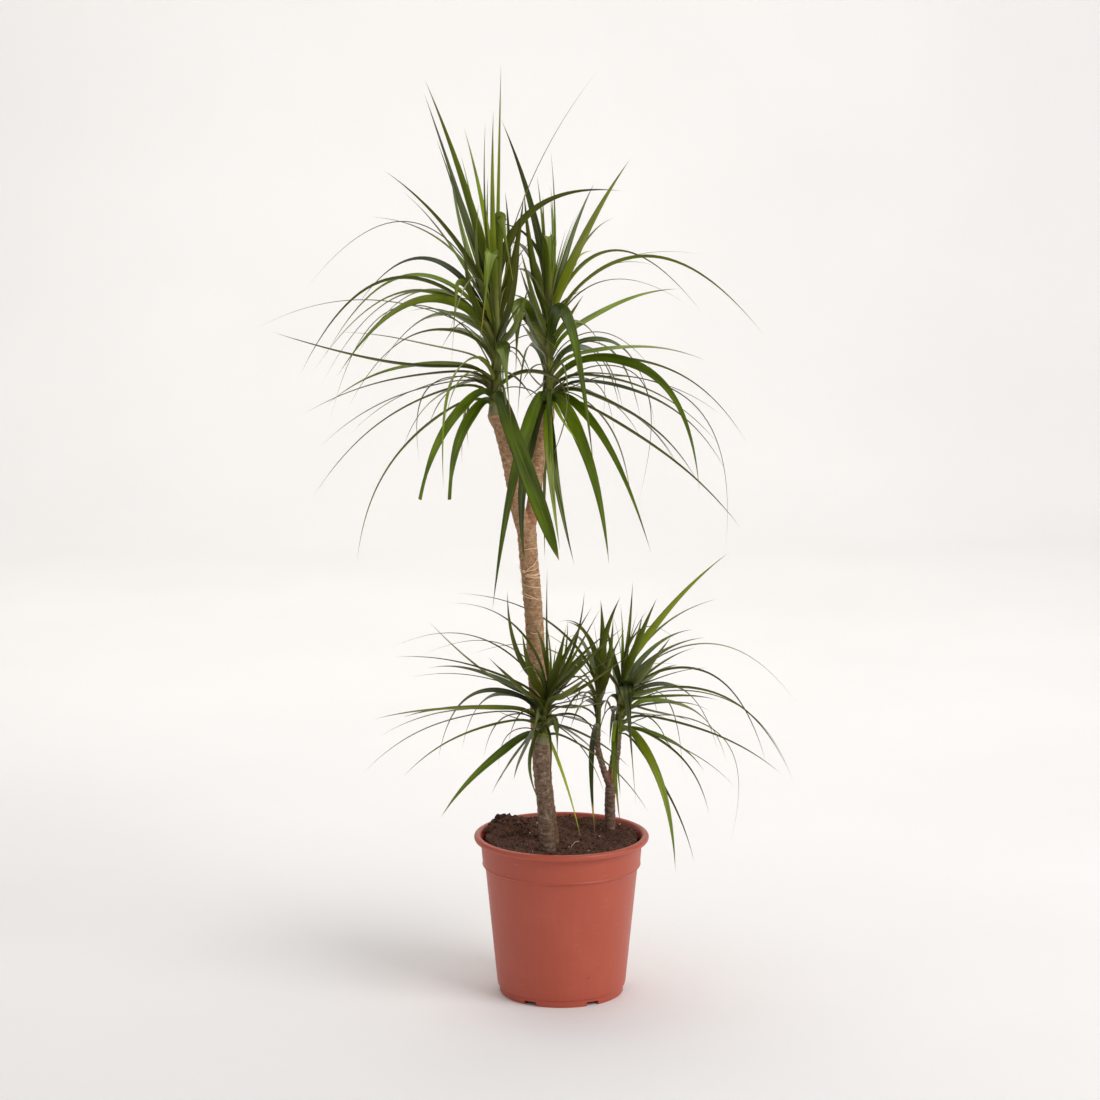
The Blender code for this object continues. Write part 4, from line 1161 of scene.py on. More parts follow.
@dataclass(frozen=True)
class BladeShape:
    """How the width, thickness, groove and painted sheen of a living blade run along it."""

    steps: int = 30
    roll: float = 0.35
    folded_fullness: float = 2.6
    taper: float = 1.12
    thickness: float = 0.75 * MM
    thinning: float = 0.6
    thickest: float = 0.35
    groove: float = 0.75
    flattening: float = 0.57
    tone_scatter: float = 0.16
    # The painted sheen: its strength on blades that carry it, the share of arching blades that do, and the
    # faint sheen on the rest.
    painted_sheen_strength: Span = (0.35, 0.65)
    painted_sheen_share: float = 0.25
    least_painted_sheen: float = 0.08

    def opening(self, share: float) -> float:
        """How far the blade has widened at a share of its length from where it clasps the stem."""
        return 0.42 + 0.16 * eased(0, 0.05, share) + 0.47 * eased(0.05, 0.36, share)

    def half_width(self, leaf: Leaf, share: float) -> float:
        """Half the blade's width at a share of its length."""
        _, fullness, least = leaf.end.value
        fullness = max(fullness, self.folded_fullness if leaf.folded else 0)
        narrowing = max(0.0, 1 - share ** fullness) ** self.taper
        return leaf.width / 2 * self.opening(share) * max(narrowing, least)

    def grooved(self, share: float) -> float:
        """How deeply the blade is folded along its middle."""
        return self.groove - self.flattening * eased(0.02, 0.25, share)

    def bloom(self, painted_sheen_strength: float, share: float) -> float:
        """How strong the painted sheen, a pale tint on the blade's outer part, is at a share of its length.
        """
        return painted_sheen_strength * eased(0.3, 0.5, share) * (1 - 0.6 * eased(0.7, 1, share))


HABIT = Habit()
BLADE_SHAPE = BladeShape()


@dataclass
class Crown:
    """A tuft of leaves on a short leafy stem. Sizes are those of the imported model."""

    node: str
    foot: Triple
    top: Triple
    radius: float
    length: float
    arching: tuple
    folded: tuple
    unseen: int
    seed: int
    filling: int
    taper: float = 0.6
    stem_sides: int = 8
    behind_step: int = 7
    behind_shrink: Span = (0.6, 0.88)
    behind_growth: Span = (-1, -0.75)
    spears: int = 6
    spear_lean: Span = (0.12, 0.3)
    spear_length: Span = (0.2, 0.42)
    spear_width: Span = (7, 10)
    overhang: float = 12 * MM
    lowest_climb: float = -0.6
    climb_range: float = 2.1
    root_range: Span = (0.06, 0.95)
    filling_root_range: Span = (0.02, 0.97)
    width_spread: Span = (0.94, 1.06)
    stem_steps: int = 36
    stem_ripple: float = 0.05
    swings: tuple[float, ...] = (
        0, 0.06, -0.06, 0.12, -0.12, 0.2, -0.2, 0.28, -0.28, 0.36, -0.36, 0.45, -0.45, 0.6, -0.6)
    blades: list[TestBlade] = field(default_factory=list)

    @cached_property
    def box(self) -> tuple[Vector, Vector]:
        """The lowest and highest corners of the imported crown."""
        low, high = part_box(self.node)
        return Vector(low), Vector(high)

    def ends(self) -> tuple[Vector, Vector]:
        """The stem's foot and top in metres."""
        return placed(self.foot), placed(self.top)

    def laid_out(self, row: Sequence, folded: bool, shrink: float = 1) -> Leaf:
        """A leaf of the layout, drawn in towards the crown by a factor.

        Leaves of a crown are equally long, so one that looks short reaches the further forward or back.

        Args:
            row: the leaf's row of the layout.
            folded: whether it is folded sharply at its middle.
            shrink: the factor.

        Returns:
            The leaf.
        """
        mid_x, mid_z, tip_x, tip_z, forward, show, *more = row
        foot, top = self.ends()
        centre = foot.lerp(top, 0.5).xz
        mid = centre.lerp(Vector((mid_x, mid_z)) * CM, shrink)
        tip = centre.lerp(Vector((tip_x, tip_z)) * CM, shrink)
        seen = (mid - centre).length + (tip - mid).length
        spare = math.sqrt(max(0, self.length ** 2 - seen ** 2))
        width, facing = show.value
        return Leaf(mid, tip, -forward * spare, folded, width * MM, facing, *more)

    def seen_leaves(self, draw: random.Random) -> Iterator[Leaf]:
        """The leaves that the front view shows."""
        for rows, folded in ((self.folded, True), (self.arching, False)):
            for row in rows:
                leaf = self.laid_out(row, folded)
                leaf.width *= draw.uniform(*self.width_spread)
                yield leaf

    def unseen_leaves(self, draw: random.Random) -> Iterator[Leaf]:
        """Leaves behind those of the layout: each follows one of them but grows back."""
        for i in range(self.unseen):
            row = self.arching[(i * self.behind_step + 1) % len(self.arching)]
            growth = draw.uniform(*self.behind_growth)
            show = draw.choice((MEDIUM, MEDIUM, NARROW))
            shrink = draw.uniform(*self.behind_shrink)
            yield self.laid_out((*row[:4], growth, show, *row[6:7]), False, shrink)

    def swung(self, leaf: Leaf, swing: float) -> Leaf:
        """The leaf with its line in space, its tip swung in depth by a share of its length."""
        depth = self.foot[1] * CM
        reach = leaf.reach + swing * self.length
        foot, top = self.ends()
        middle = on_sight_line(*leaf.mid, depth + reach / 2)
        tip = on_sight_line(*leaf.tip, depth + reach)
        rise = middle - foot.lerp(top, 0.5)
        share = (math.atan2(rise.z, math.hypot(rise.x, rise.y)) - self.lowest_climb) / self.climb_range
        root = foot.lerp(top, held(share, self.root_range))
        return replace(leaf, line=(root, middle, tip))

    def crossings(self, blade: TestBlade) -> int:
        """How many of the crown's blades cross the outer part of this one."""
        return sum(1 for other in self.blades if blade.outer.overlap(other.outer))

    def find_place(self, leaf: Leaf, blocked: Sequence[BVHTree]) -> None:
        """Adds the leaf at the smallest swing that clears what stands there already, if one does."""
        best, fewest = None, math.inf
        farthest = self.box[1].y + self.overhang
        for swing in self.swings:
            blade = TestBlade(self.swung(leaf, swing))
            if blade.leaf.line[2].y > farthest or any(blade.whole.overlap(tree) for tree in blocked):
                continue
            crossings = self.crossings(blade)
            if crossings < fewest:
                best, fewest = blade, crossings
            if crossings == 0:
                break
        if best:
            self.blades.append(best)

    def filling_leaves(self, draw: random.Random) -> Iterator[Leaf]:
        """Further leaves all round the crown, from drooping old ones low down to upright young ones."""
        foot, top = self.ends()
        low, high = self.box
        for i in range(self.filling):
            age = 1 - (i + 0.5) / self.filling
            turn = i * GOLDEN_TURN + draw.uniform(-HABIT.turn_scatter, HABIT.turn_scatter)
            rise = HABIT.rise(age, draw)
            climb = math.radians(rise)
            grown = draw.uniform(*HABIT.length) * (1 - HABIT.shortened * eased(*HABIT.short_climb, rise))
            length = self.length * grown * (HABIT.half_grown if i % HABIT.long_every else 1)
            fall = climb - HABIT.drooping(age, draw)
            root = foot.lerp(top, held(1.02 - age, self.filling_root_range))
            middle = root + climbing(turn, climb) * length * HABIT.bend
            tip = middle + climbing(turn, fall) * length * (1 - HABIT.bend)
            width, facing = draw.choice((MEDIUM, NARROW, FINE, FINE)).value
            tone = draw.choice((DARK, DARK, DARK, GREEN, PALE, BRIGHT if age < HABIT.young else GREEN))
            if all(low[k] < tip[k] < high[k] and low[k] < middle[k] < high[k] for k in range(3)):
                yield Leaf(middle.xz, tip.xz, 0, False, width * MM, facing, tone, line=(root, middle, tip))

    def fill(self, blocked: Sequence[BVHTree]) -> None:
        """Adds the further leaves that clear what stands there already."""
        for leaf in self.filling_leaves(random.Random(self.seed + 50)):
            blade = TestBlade(leaf)
            if not any(blade.whole.overlap(tree) for tree in blocked) and self.crossings(blade) <= 1:
                self.blades.append(blade)

    def stem_solid(self) -> BVHTree:
        """A search tree over the plain stem, which other crowns' leaves keep clear of."""
        foot, top = self.ends()
        lead = top - foot
        shape = bmesh.new()
        bmesh.ops.create_cone(
            shape, cap_ends=True, segments=self.stem_sides, radius1=self.radius,
            radius2=self.taper * self.radius, depth=lead.length)
        turned = lead.to_track_quat("Z", "Y").to_matrix().to_4x4()
        bmesh.ops.transform(shape, matrix=Matrix.Translation((foot + top) / 2) @ turned, verts=shape.verts)
        return BVHTree.FromBMesh(shape)

    def young_leaves(self, draw: random.Random) -> Iterator[Leaf]:
        """The short spears of unopened leaves in the heart of the crown."""
        foot, top = self.ends()
        lead = (top - foot).normalized()
        for i in range(self.spears):
            turn = i * 2.4 + draw.uniform(-0.3, 0.3)
            lean = level(turn) * draw.uniform(*self.spear_lean)
            length = self.length * draw.uniform(*self.spear_length)
            root = top - lead * 6 * MM
            tip = root + (lead + lean).normalized() * length
            middle = root + (lead + lean * 0.6).normalized() * length * 0.5
            width = draw.uniform(*self.spear_width) * MM * (0.6 + 0.4 * self.radius / (8 * MM))
            tone = draw.choice((PALE, BRIGHT))
            yield Leaf(middle.xz, tip.xz, 0, False, width, 0.2, tone, line=(root, middle, tip))

    def add_blade(self, lines: Lines, leaf: Leaf, draw: random.Random) -> None:
        """Adds a leaf's fine line with its widths and shades.

        Args:
            lines: the lines that the ribbon tree starts from.
            leaf: the leaf, with its line in space.
            draw: the source of its small differences.
        """
        shape = BLADE_SHAPE
        stations = [i / shape.steps for i in range(shape.steps + 1)]
        leaf = leaf.slimmed()
        frames = leaf.frames(stations)
        roll = draw.uniform(-shape.roll, shape.roll)
        centres, sides, faces, distances = [], [], [], []
        distance = 0.0
        for i, (share, (place, side, face)) in enumerate(zip(stations, frames)):
            if i:
                distance += (place - centres[-1]).length
            turn = roll * share
            centres.append(place)
            sides.append(side * math.cos(turn) + face * math.sin(turn))
            faces.append(face * math.cos(turn) - side * math.sin(turn))
            distances.append(distance)
        halves = [shape.half_width(leaf, share) for share in stations]
        thicks = [min(shape.thickness * (1 - shape.thinning * share), shape.thickest * half)
                  for share, half in zip(stations, halves)]
        dry = leaf.end is End.DRY
        tone = leaf.tone.value + draw.uniform(-shape.tone_scatter, shape.tone_scatter)
        # Folded blades and a share of the others carry a strong painted sheen, and the rest a faint one.
        has_painted_sheen = leaf.folded or draw.random() < shape.painted_sheen_share
        painted_sheen_strength = draw.uniform(*shape.painted_sheen_strength) if has_painted_sheen else shape.least_painted_sheen
        lines.add(
            centres, centre=centres, side=sides, face=faces, half_width=halves, half_thick=thicks,
            groove=[shape.grooved(share) for share in stations], share=stations, along=distances,
            tone=tone, dry=float(dry), bloom=[shape.bloom(painted_sheen_strength, share) for share in stations],
            tip_start=PAST_TIP if dry else leaf.end.value[0], seed=draw.random())

    def add_stem(self, lines: Lines, draw: random.Random) -> None:
        """Adds the leafy stem, ringed by the bases of shed leaves."""
        foot, top = self.ends()
        lead = (top - foot).normalized()
        side = lead.orthogonal().normalized()
        start, end = foot - lead * 0.3 * MM, top + lead * 4 * MM
        steps = range(self.stem_steps + 1)
        shares = [i / self.stem_steps for i in steps]
        rings = [1 + self.stem_ripple * math.sin(i * math.pi * 0.5) for i in steps]
        radii = [self.radius * (1 + (self.taper - 1) * share) * ring for share, ring in zip(shares, rings)]
        radii = [0.0, *radii[1:-1], 0.0]
        centres = [start.lerp(end, share) for share in (0, 0, *shares[2:-1], 1)]
        lines.add(
            centres, centre=centres, side=side, face=lead.cross(side), half_width=radii, half_thick=radii,
            groove=0.0, share=0.05, along=[c * (end - start).length for c in shares], tone=0.3, bloom=0.0,
            dry=[0.35 * (1 - eased(0.05, 0.3, share)) for share in shares], tip_start=PAST_TIP,
            seed=draw.random())

    def build(self, recipe: Recipe) -> Object:
        """The crown's finished mesh.

        Args:
            recipe: the ribbon tree.

        Returns:
            The object.
        """
        draw = random.Random(self.seed + 100)
        lines = Lines()
        self.add_stem(lines, draw)
        for blade in self.blades:
            self.add_blade(lines, blade.leaf, draw)
        for leaf in self.young_leaves(draw):
            self.add_blade(lines, leaf, draw)
        made = recipe.grow(self.node + "_leaves", lines.mesh(self.node))
        faced_outwards(made.data)
        return made


CROWNS = [
    Crown("crown_upper_left", (-7.8, -1.5, 70), (-7.5, -1.5, 80.5), 8 * MM, 36 * CM,
          LEFT_ARCHING, LEFT_FOLDED, 15, 11, 28),
    Crown("crown_upper_right", (-1.6, 1.5, 70), (-1.5, 1.5, 80.5), 7.5 * MM, 36 * CM,
          RIGHT_ARCHING, RIGHT_FOLDED, 17, 22, 32),
    Crown("crown_middle", (-2.4, -5, 30.4), (-1.4, -5, 36.5), 7.5 * MM, 27 * CM,
          MIDDLE_ARCHING, MIDDLE_FOLDED, 12, 13, 18),
    Crown("crown_right_small", (4.3, 3.5, 31.6), (4.5, 3.5, 36), 3.6 * MM, 25 * CM,
          SMALL_ARCHING, SMALL_FOLDED, 7, 14, 14),
    Crown("crown_right", (6.6, 4, 31), (7.2, 4, 37.5), 5.5 * MM, 28 * CM,
          LOWER_RIGHT_ARCHING, LOWER_RIGHT_FOLDED, 12, 15, 20),
]


def place_leaves(crowns: Sequence[Crown], obstacles: Sequence[Object]) -> None:
    """Finds every leaf its place: first those that the front view shows, then those behind.

    Args:
        crowns: the crowns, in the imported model's order.
        obstacles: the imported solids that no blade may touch.
    """
    solid = solid_tree(obstacles)
    stems = {crown.node: crown.stem_solid() for crown in crowns}

    def blocked(crown: Crown) -> list[BVHTree]:
        """What the leaves of a crown keep clear of."""
        others = [other for other in crowns if other is not crown]
        blades = [blade.whole for other in others for blade in other.blades]
        return [solid, *(stems[other.node] for other in others), *blades]

    for rule in (Crown.seen_leaves, Crown.unseen_leaves):
        for crown in crowns:
            for leaf in rule(crown, random.Random(crown.seed)):
                crown.find_place(leaf, blocked(crown))
    for crown in crowns:
        crown.fill(blocked(crown))
        LOG.info("%s: %d leaves placed", crown.node, len(crown.blades))


# Canes


@dataclass
class Cane:
    """A bare cane with its branches, swept as tubes, fused and marked with leaf scars."""

    node: str
    stem: tuple
    finish: Bark
    branches: dict[str, tuple] = field(default_factory=dict)
    scar_step: float = 8.5 * MM
    scar_depth: float = 0.4 * MM
    swelling: float = 0.45 * MM
    scar_width: float = 0.65 * MM
    lump: float = 0.4 * MM
    # How strongly the bark darkens towards the soil, the height below which it is darkest, and the length
    # over which that fades.
    lower_darkening: float = 0.75
    darkest_below: float = 20 * CM
    darkening_length: float = 16 * CM
    redness: float = 0.55
    collar: float = 10 * MM
    voxel: float = 1.1 * MM
    buried: float = 20 * MM
    sides: int = 36
    crown_gap: float = 1.2 * MM
    tilts: tuple[Triple, ...] = ((0.3, 1, 45), (0.1, 3, 210))
    lump_waves: tuple[tuple[float, ...], ...] = (
        (410, 260, 330, 0), (-290, 480, 210, 2), (180, -350, 640, 4))
    collar_offset: Triple = (6 * MM, 0, 16 * MM)

    def route(self, bends: Sequence, crown: Crown | None) -> list[tuple[Vector, float]]:
        """A branch's (centre, radius) at close steps.

        Args:
            bends: its (right, depth, up, thickness) bends.
            crown: the crown that it ends under, or None.

        Returns:
            The steps, smoothed through the bends.
        """
        knots = [(placed(bend[:3]), bend[3] / 2 * MM) for bend in bends]
        if crown:
            foot, top = crown.ends()
            lead = (top - foot).normalized()
            knots += [(foot - lead * 5 * MM, crown.radius), (foot + lead * self.crown_gap, crown.radius)]
        steps = []
        for i, ((a, ra), (b, rb)) in enumerate(zip(knots, knots[1:])):
            before, after = knots[max(i - 1, 0)][0], knots[min(i + 2, len(knots) - 1)][0]
            pull_a, pull_b = (b - before) / 2, (after - a) / 2
            count = max(2, round((b - a).length / (3 * MM)))
            for k in range(count):
                t = k / count
                place = (a * (2 * t ** 3 - 3 * t ** 2 + 1) + pull_a * (t ** 3 - 2 * t ** 2 + t)
                         + b * (3 * t ** 2 - 2 * t ** 3) + pull_b * (t ** 3 - t ** 2))
                steps.append((place, ra + (rb - ra) * t))
        return [*steps, knots[-1]]

    def routes(self, crowns: dict[str, Crown]) -> list[list[tuple[Vector, float]]]:
        """The routes of the stem and of each branch."""
        own = crowns["crown_middle"] if not self.branches else None
        stem = self.route(self.stem, own)
        lead = (stem[1][0] - stem[0][0]).normalized()
        low = stem[0][0] - lead * (stem[0][0].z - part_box("soil")[1].z + self.buried)
        count = 16
        root = [(low.lerp(stem[0][0], i / count), stem[0][1]) for i in range(count)]
        return [root + stem, *(self.route(bends, crowns[name]) for name, bends in self.branches.items())]

    def swept(self, route: Sequence[tuple[Vector, float]], shape: bmesh.types.BMesh) -> None:
        """Adds a closed tube along a route to a mesh."""
        rings = []
        side = Vector((1, 0, 0))
        for i, (place, radius) in enumerate(route):
            ahead = route[min(i + 1, len(route) - 1)][0] - route[max(i - 1, 0)][0]
            lead = ahead.normalized()
            side = (side - lead * side.dot(lead)).normalized()
            other = lead.cross(side)
            turns = [math.tau * k / self.sides for k in range(self.sides)]
            rings.append([shape.verts.new(place + (side * math.cos(t) + other * math.sin(t)) * radius)
                          for t in turns])
        for low, high in zip(rings, rings[1:]):
            for k in range(self.sides):
                n = (k + 1) % self.sides
                shape.faces.new((low[k], low[n], high[n], high[k]))
        shape.faces.new(rings[0][::-1])
        shape.faces.new(rings[-1])

    def marked(self, mesh: Mesh, routes: Sequence) -> None:
        """Presses leaf scars and unevenness into the bark, and notes them for the finish."""
        count = len(mesh.vertices)
        points = np.empty(count * 3)
        mesh.vertices.foreach_get("co", points)
        points = points.reshape(-1, 3)
        best = np.full(count, np.inf)
        depth, bulge, outward = np.zeros(count), np.zeros(count), np.zeros((count, 3))
        for number, route in enumerate(routes):
            centres = np.array([place for place, _ in route])
            radii = np.array([radius for _, radius in route])
            spans = np.linalg.norm(np.diff(centres, axis=0), axis=1)
            distances = np.concatenate([[0], np.cumsum(spans)])
            leads = np.gradient(centres, axis=0)
            leads /= np.linalg.norm(leads, axis=1, keepdims=True)
            gaps = points[:, None, :] - centres[None, :, :]
            near = (gaps ** 2).sum(axis=2).argmin(axis=1)
            away = points - centres[near]
            ahead = (away * leads[near]).sum(axis=1)
            away -= ahead[:, None] * leads[near]
            size = np.linalg.norm(away, axis=1)
            closer = size / radii[near] < best
            best = np.where(closer, size / radii[near], best)
            place = distances[near] + ahead
            bearing = np.arctan2(away[:, 1], away[:, 0])
            tilt = sum(size * np.sin(turns * bearing + place * wave) for size, turns, wave in self.tilts)
            ring = place / self.scar_step + tilt + 0.12 * np.sin(place * 330 + number)
            line = np.abs(ring - np.round(ring)) * self.scar_step
            broken = 0.55 + 0.45 * np.sin(2 * bearing + 9 * np.round(ring) + np.sin(place * 150))
            scar = np.exp(-(line / self.scar_width) ** 2) * broken
            swell = np.sin(math.pi * (ring - np.floor(ring))) ** 2 * (1.3 - broken)
            depth = np.where(closer, scar, depth)
            bulge = np.where(closer, swell, bulge)
            outward = np.where(closer[:, None], away / np.maximum(size, 1e-6)[:, None], outward)
        lumps = sum(np.sin(points @ wave[:3] + wave[3]) for wave in self.lump_waves) / len(self.lump_waves)
        rise = self.lump * lumps + self.swelling * bulge - self.scar_depth * depth
        moved = points + outward * rise[:, None]
        mesh.vertices.foreach_set("co", moved.ravel())
        keep(mesh, "scar", 0.6 * depth)
        # The bark darkens towards the soil: most below one height, fading over a length above it.
        height_share = np.clip((points[:, 2] - self.darkest_below) / self.darkening_length, 0, 1)
        keep(mesh, "old", self.lower_darkening * (1 - height_share))
        fork = Vector((0, 0, -1))
        if self.branches:
            fork = routes[-1][0][0] + Vector(self.collar_offset)
        away = np.linalg.norm(points - np.array(fork), axis=1)
        keep(mesh, "collar", self.redness * np.exp(-(away / self.collar) ** 2))

    def build(self, crowns: dict[str, Crown]) -> Object:
        """The cane's finished mesh.

        Args:
            crowns: the crowns by their nodes' names.

        Returns:
            The object.
        """
        routes = self.routes(crowns)
        shape = bmesh.new()
        for route in routes:
            self.swept(route, shape)
        mesh = bpy.data.meshes.new(self.node)
        shape.to_mesh(mesh)
        shape.free()
        made = link_mesh(self.node + "_bark", mesh)
        fused = made.modifiers.new("Fuse", "REMESH")
        fused.mode = "VOXEL"
        fused.voxel_size = self.voxel
        eased_over = made.modifiers.new("Ease", "SMOOTH")
        eased_over.iterations = 4
        made.data = evaluated_mesh(made)
        made.modifiers.clear()
        self.marked(made.data, routes)
        made.data.shade_smooth()
        made.data.materials.clear()
        made.data.materials.append(self.finish.build())
        return made


CANES = [
    Cane("cane_tall", TALL_STEM, TAN_BARK,
         {"crown_upper_left": LEFT_BRANCH, "crown_upper_right": RIGHT_BRANCH}),
    Cane("cane_middle", MIDDLE_STEM, GREY_BARK, scar_step=7 * MM, swelling=0.7 * MM, lower_darkening=0.3),
    Cane("cane_right", RIGHT_STEM, RIGHT_BARK,
         {"crown_right": RIGHT_THICK_BRANCH, "crown_right_small": RIGHT_THIN_BRANCH},
         scar_step=6 * MM, lower_darkening=0.3),
]


# Raffia


@dataclass
class RaffiaTie:
    """Split raffia, knotted at the front of the tall cane and wound down it."""

    node: str = "raffia_tie"
    top: float = 51.4 * CM
    drop: float = 32 * MM
    turns: float = 2.4
    start: float = math.radians(-122)
    width: float = 1.3 * MM
    lift: float = 0.9 * MM
    front: float = -math.pi / 2
    strand_thickness: float = 0.28 * MM
    loop_radius: float = 1.7 * MM
    loop_points: int = 13
    loop_share: float = 0.92
    loop_width: float = 1.5 * MM
    loop_thickness: float = 1 * MM
    loop_length: float = 15 * MM
    loop_slants: tuple[Span, ...] = ((0.0, 0.9), (0.9, -0.5), (-0.7, 0.3))
    knot_lift: float = 2.1 * MM
    crossing_lift: float = 0.5 * MM

    def section(self, height: float) -> tuple[Vector, float]:
        """The cane's centre and radius at a height."""
        points = [placed(bend[:3]) for bend in TALL_STEM]
        index = max(i for i, point in enumerate(points[:-1]) if point.z <= height)
        low, high = points[index], points[index + 1]
        share = (height - low.z) / (high.z - low.z)
        width = TALL_STEM[index][3] + (TALL_STEM[index + 1][3] - TALL_STEM[index][3]) * share
        return low.lerp(high, share), width / 2 * MM

    def wound(self, lines: Lines, first: Span, last: Span, draw: random.Random,
              lift: float = 0.0, sag: float = 0.0) -> None:
        """Lays one strand on the cane.

        Args:
            lines: the lines that the ribbon tree starts from.
            first: the (height, angle) it starts at.
            last: the (height, angle) it ends at.
            draw: the source of its unevenness.
            lift: how far it lies over other strands.
            sag: how far it hangs slack where it passes the front.
        """
        count = max(8, round(abs(last[1] - first[1]) / 0.2))
        wobble = draw.uniform(0, math.tau)
        centres, sides, faces, shares = [], [], [], []
        for i in range(count + 1):
            share = i / count
            height = first[0] + (last[0] - first[0]) * share + 0.5 * MM * math.sin(wobble + share * 9)
            turn = first[1] + (last[1] - first[1]) * share
            height -= sag * (0.5 + 0.5 * math.cos(turn - self.front))
            centre, radius = self.section(height)
            outward = level(turn)
            centres.append(centre + outward * (radius + self.lift + lift))
            faces.append(outward)
            shares.append(share)
        for i in range(count + 1):
            lead = (centres[min(i + 1, count)] - centres[max(i - 1, 0)]).normalized()
            sides.append(lead.cross(faces[i]).normalized())
        ends = [min(1.0, 8 * s, 8 * (1 - s)) for s in shares]
        lines.add(
            centres, centre=centres, side=sides, face=faces,
            half_width=[self.width / 2 * (0.35 + 0.65 * e) if 0 < e else 0.0 for e in ends],
            half_thick=[self.strand_thickness if 0 < e else 0.0 for e in ends], groove=0.0, share=shares,
            along=[s * 80 * MM for s in shares], seed=draw.random())

    def build(self, recipe: Recipe) -> Object:
        """The tie's finished mesh: the winding, the crossing strands, the knot and its loose ends."""
        draw = random.Random(5)
        lines = Lines()
        end = (self.top - self.drop, self.start + math.tau * self.turns)
        self.wound(lines, (self.top, self.start), end, draw, sag=4 * MM)
        start, front = self.start, self.front
        # A strand: (height from the top, angle) where it starts and where it ends, and its sag, in mm.
        crossing = (
            (2, start, 19, front + 1.1, 4),
            (1, start - 0.1, 3, front + 1.3, 6),
            (0, start, -2, front + 1.4, 3.5),
            (-1, start, -4, front + 1.4, 5),
            (2, start, 9, front + 1.4, 3),
            (-22, front - 0.9, -33, front + 0.9, 3),
            (28, front - 0.5, 29, front + 1.1, 1.5),
            (-76, front - 0.5, -76, front + 0.5, -2),
            (0, start, 6, start - 1.3, 0),
        )
        for low, turn, high, end_turn, sag in crossing:
            ends = (self.top + low * MM, turn), (self.top + high * MM, end_turn)
            self.wound(lines, *ends, draw, lift=self.crossing_lift, sag=sag * MM)
        centre, radius = self.section(self.top)
        outward = level(self.start)
        across = Vector((-outward.y, outward.x, 0))
        middle = centre + outward * (radius + self.knot_lift)
        last = self.loop_points - 1
        shares = [i / last for i in range(self.loop_points)]
        for turn, tilt in self.loop_slants:
            loop = []
            for i in range(self.loop_points):
                angle = math.tau * i / last * self.loop_share
                flat = across * math.cos(angle) + Vector((0, 0, 1)) * math.sin(angle)
                slant = flat * math.cos(turn) + outward * tilt * math.sin(angle)
                loop.append(middle + slant * self.loop_radius)
            leads = [(loop[min(i + 1, last)] - loop[max(i - 1, 0)]).normalized() for i in range(last + 1)]
            faces = [(point - middle).normalized() for point in loop]
            sides = [lead.cross(face).normalized() for lead, face in zip(leads, faces)]
            lines.add(
                loop, centre=loop, side=sides, face=faces, half_width=self.loop_width / 2,
                half_thick=self.loop_thickness / 2, groove=0.0, share=shares,
                along=[s * self.loop_length for s in shares], seed=draw.random())
        made = recipe.grow("raffia_strands", lines.mesh("raffia"), Section_points=8)
        faced_outwards(made.data)
        return made


# Soil


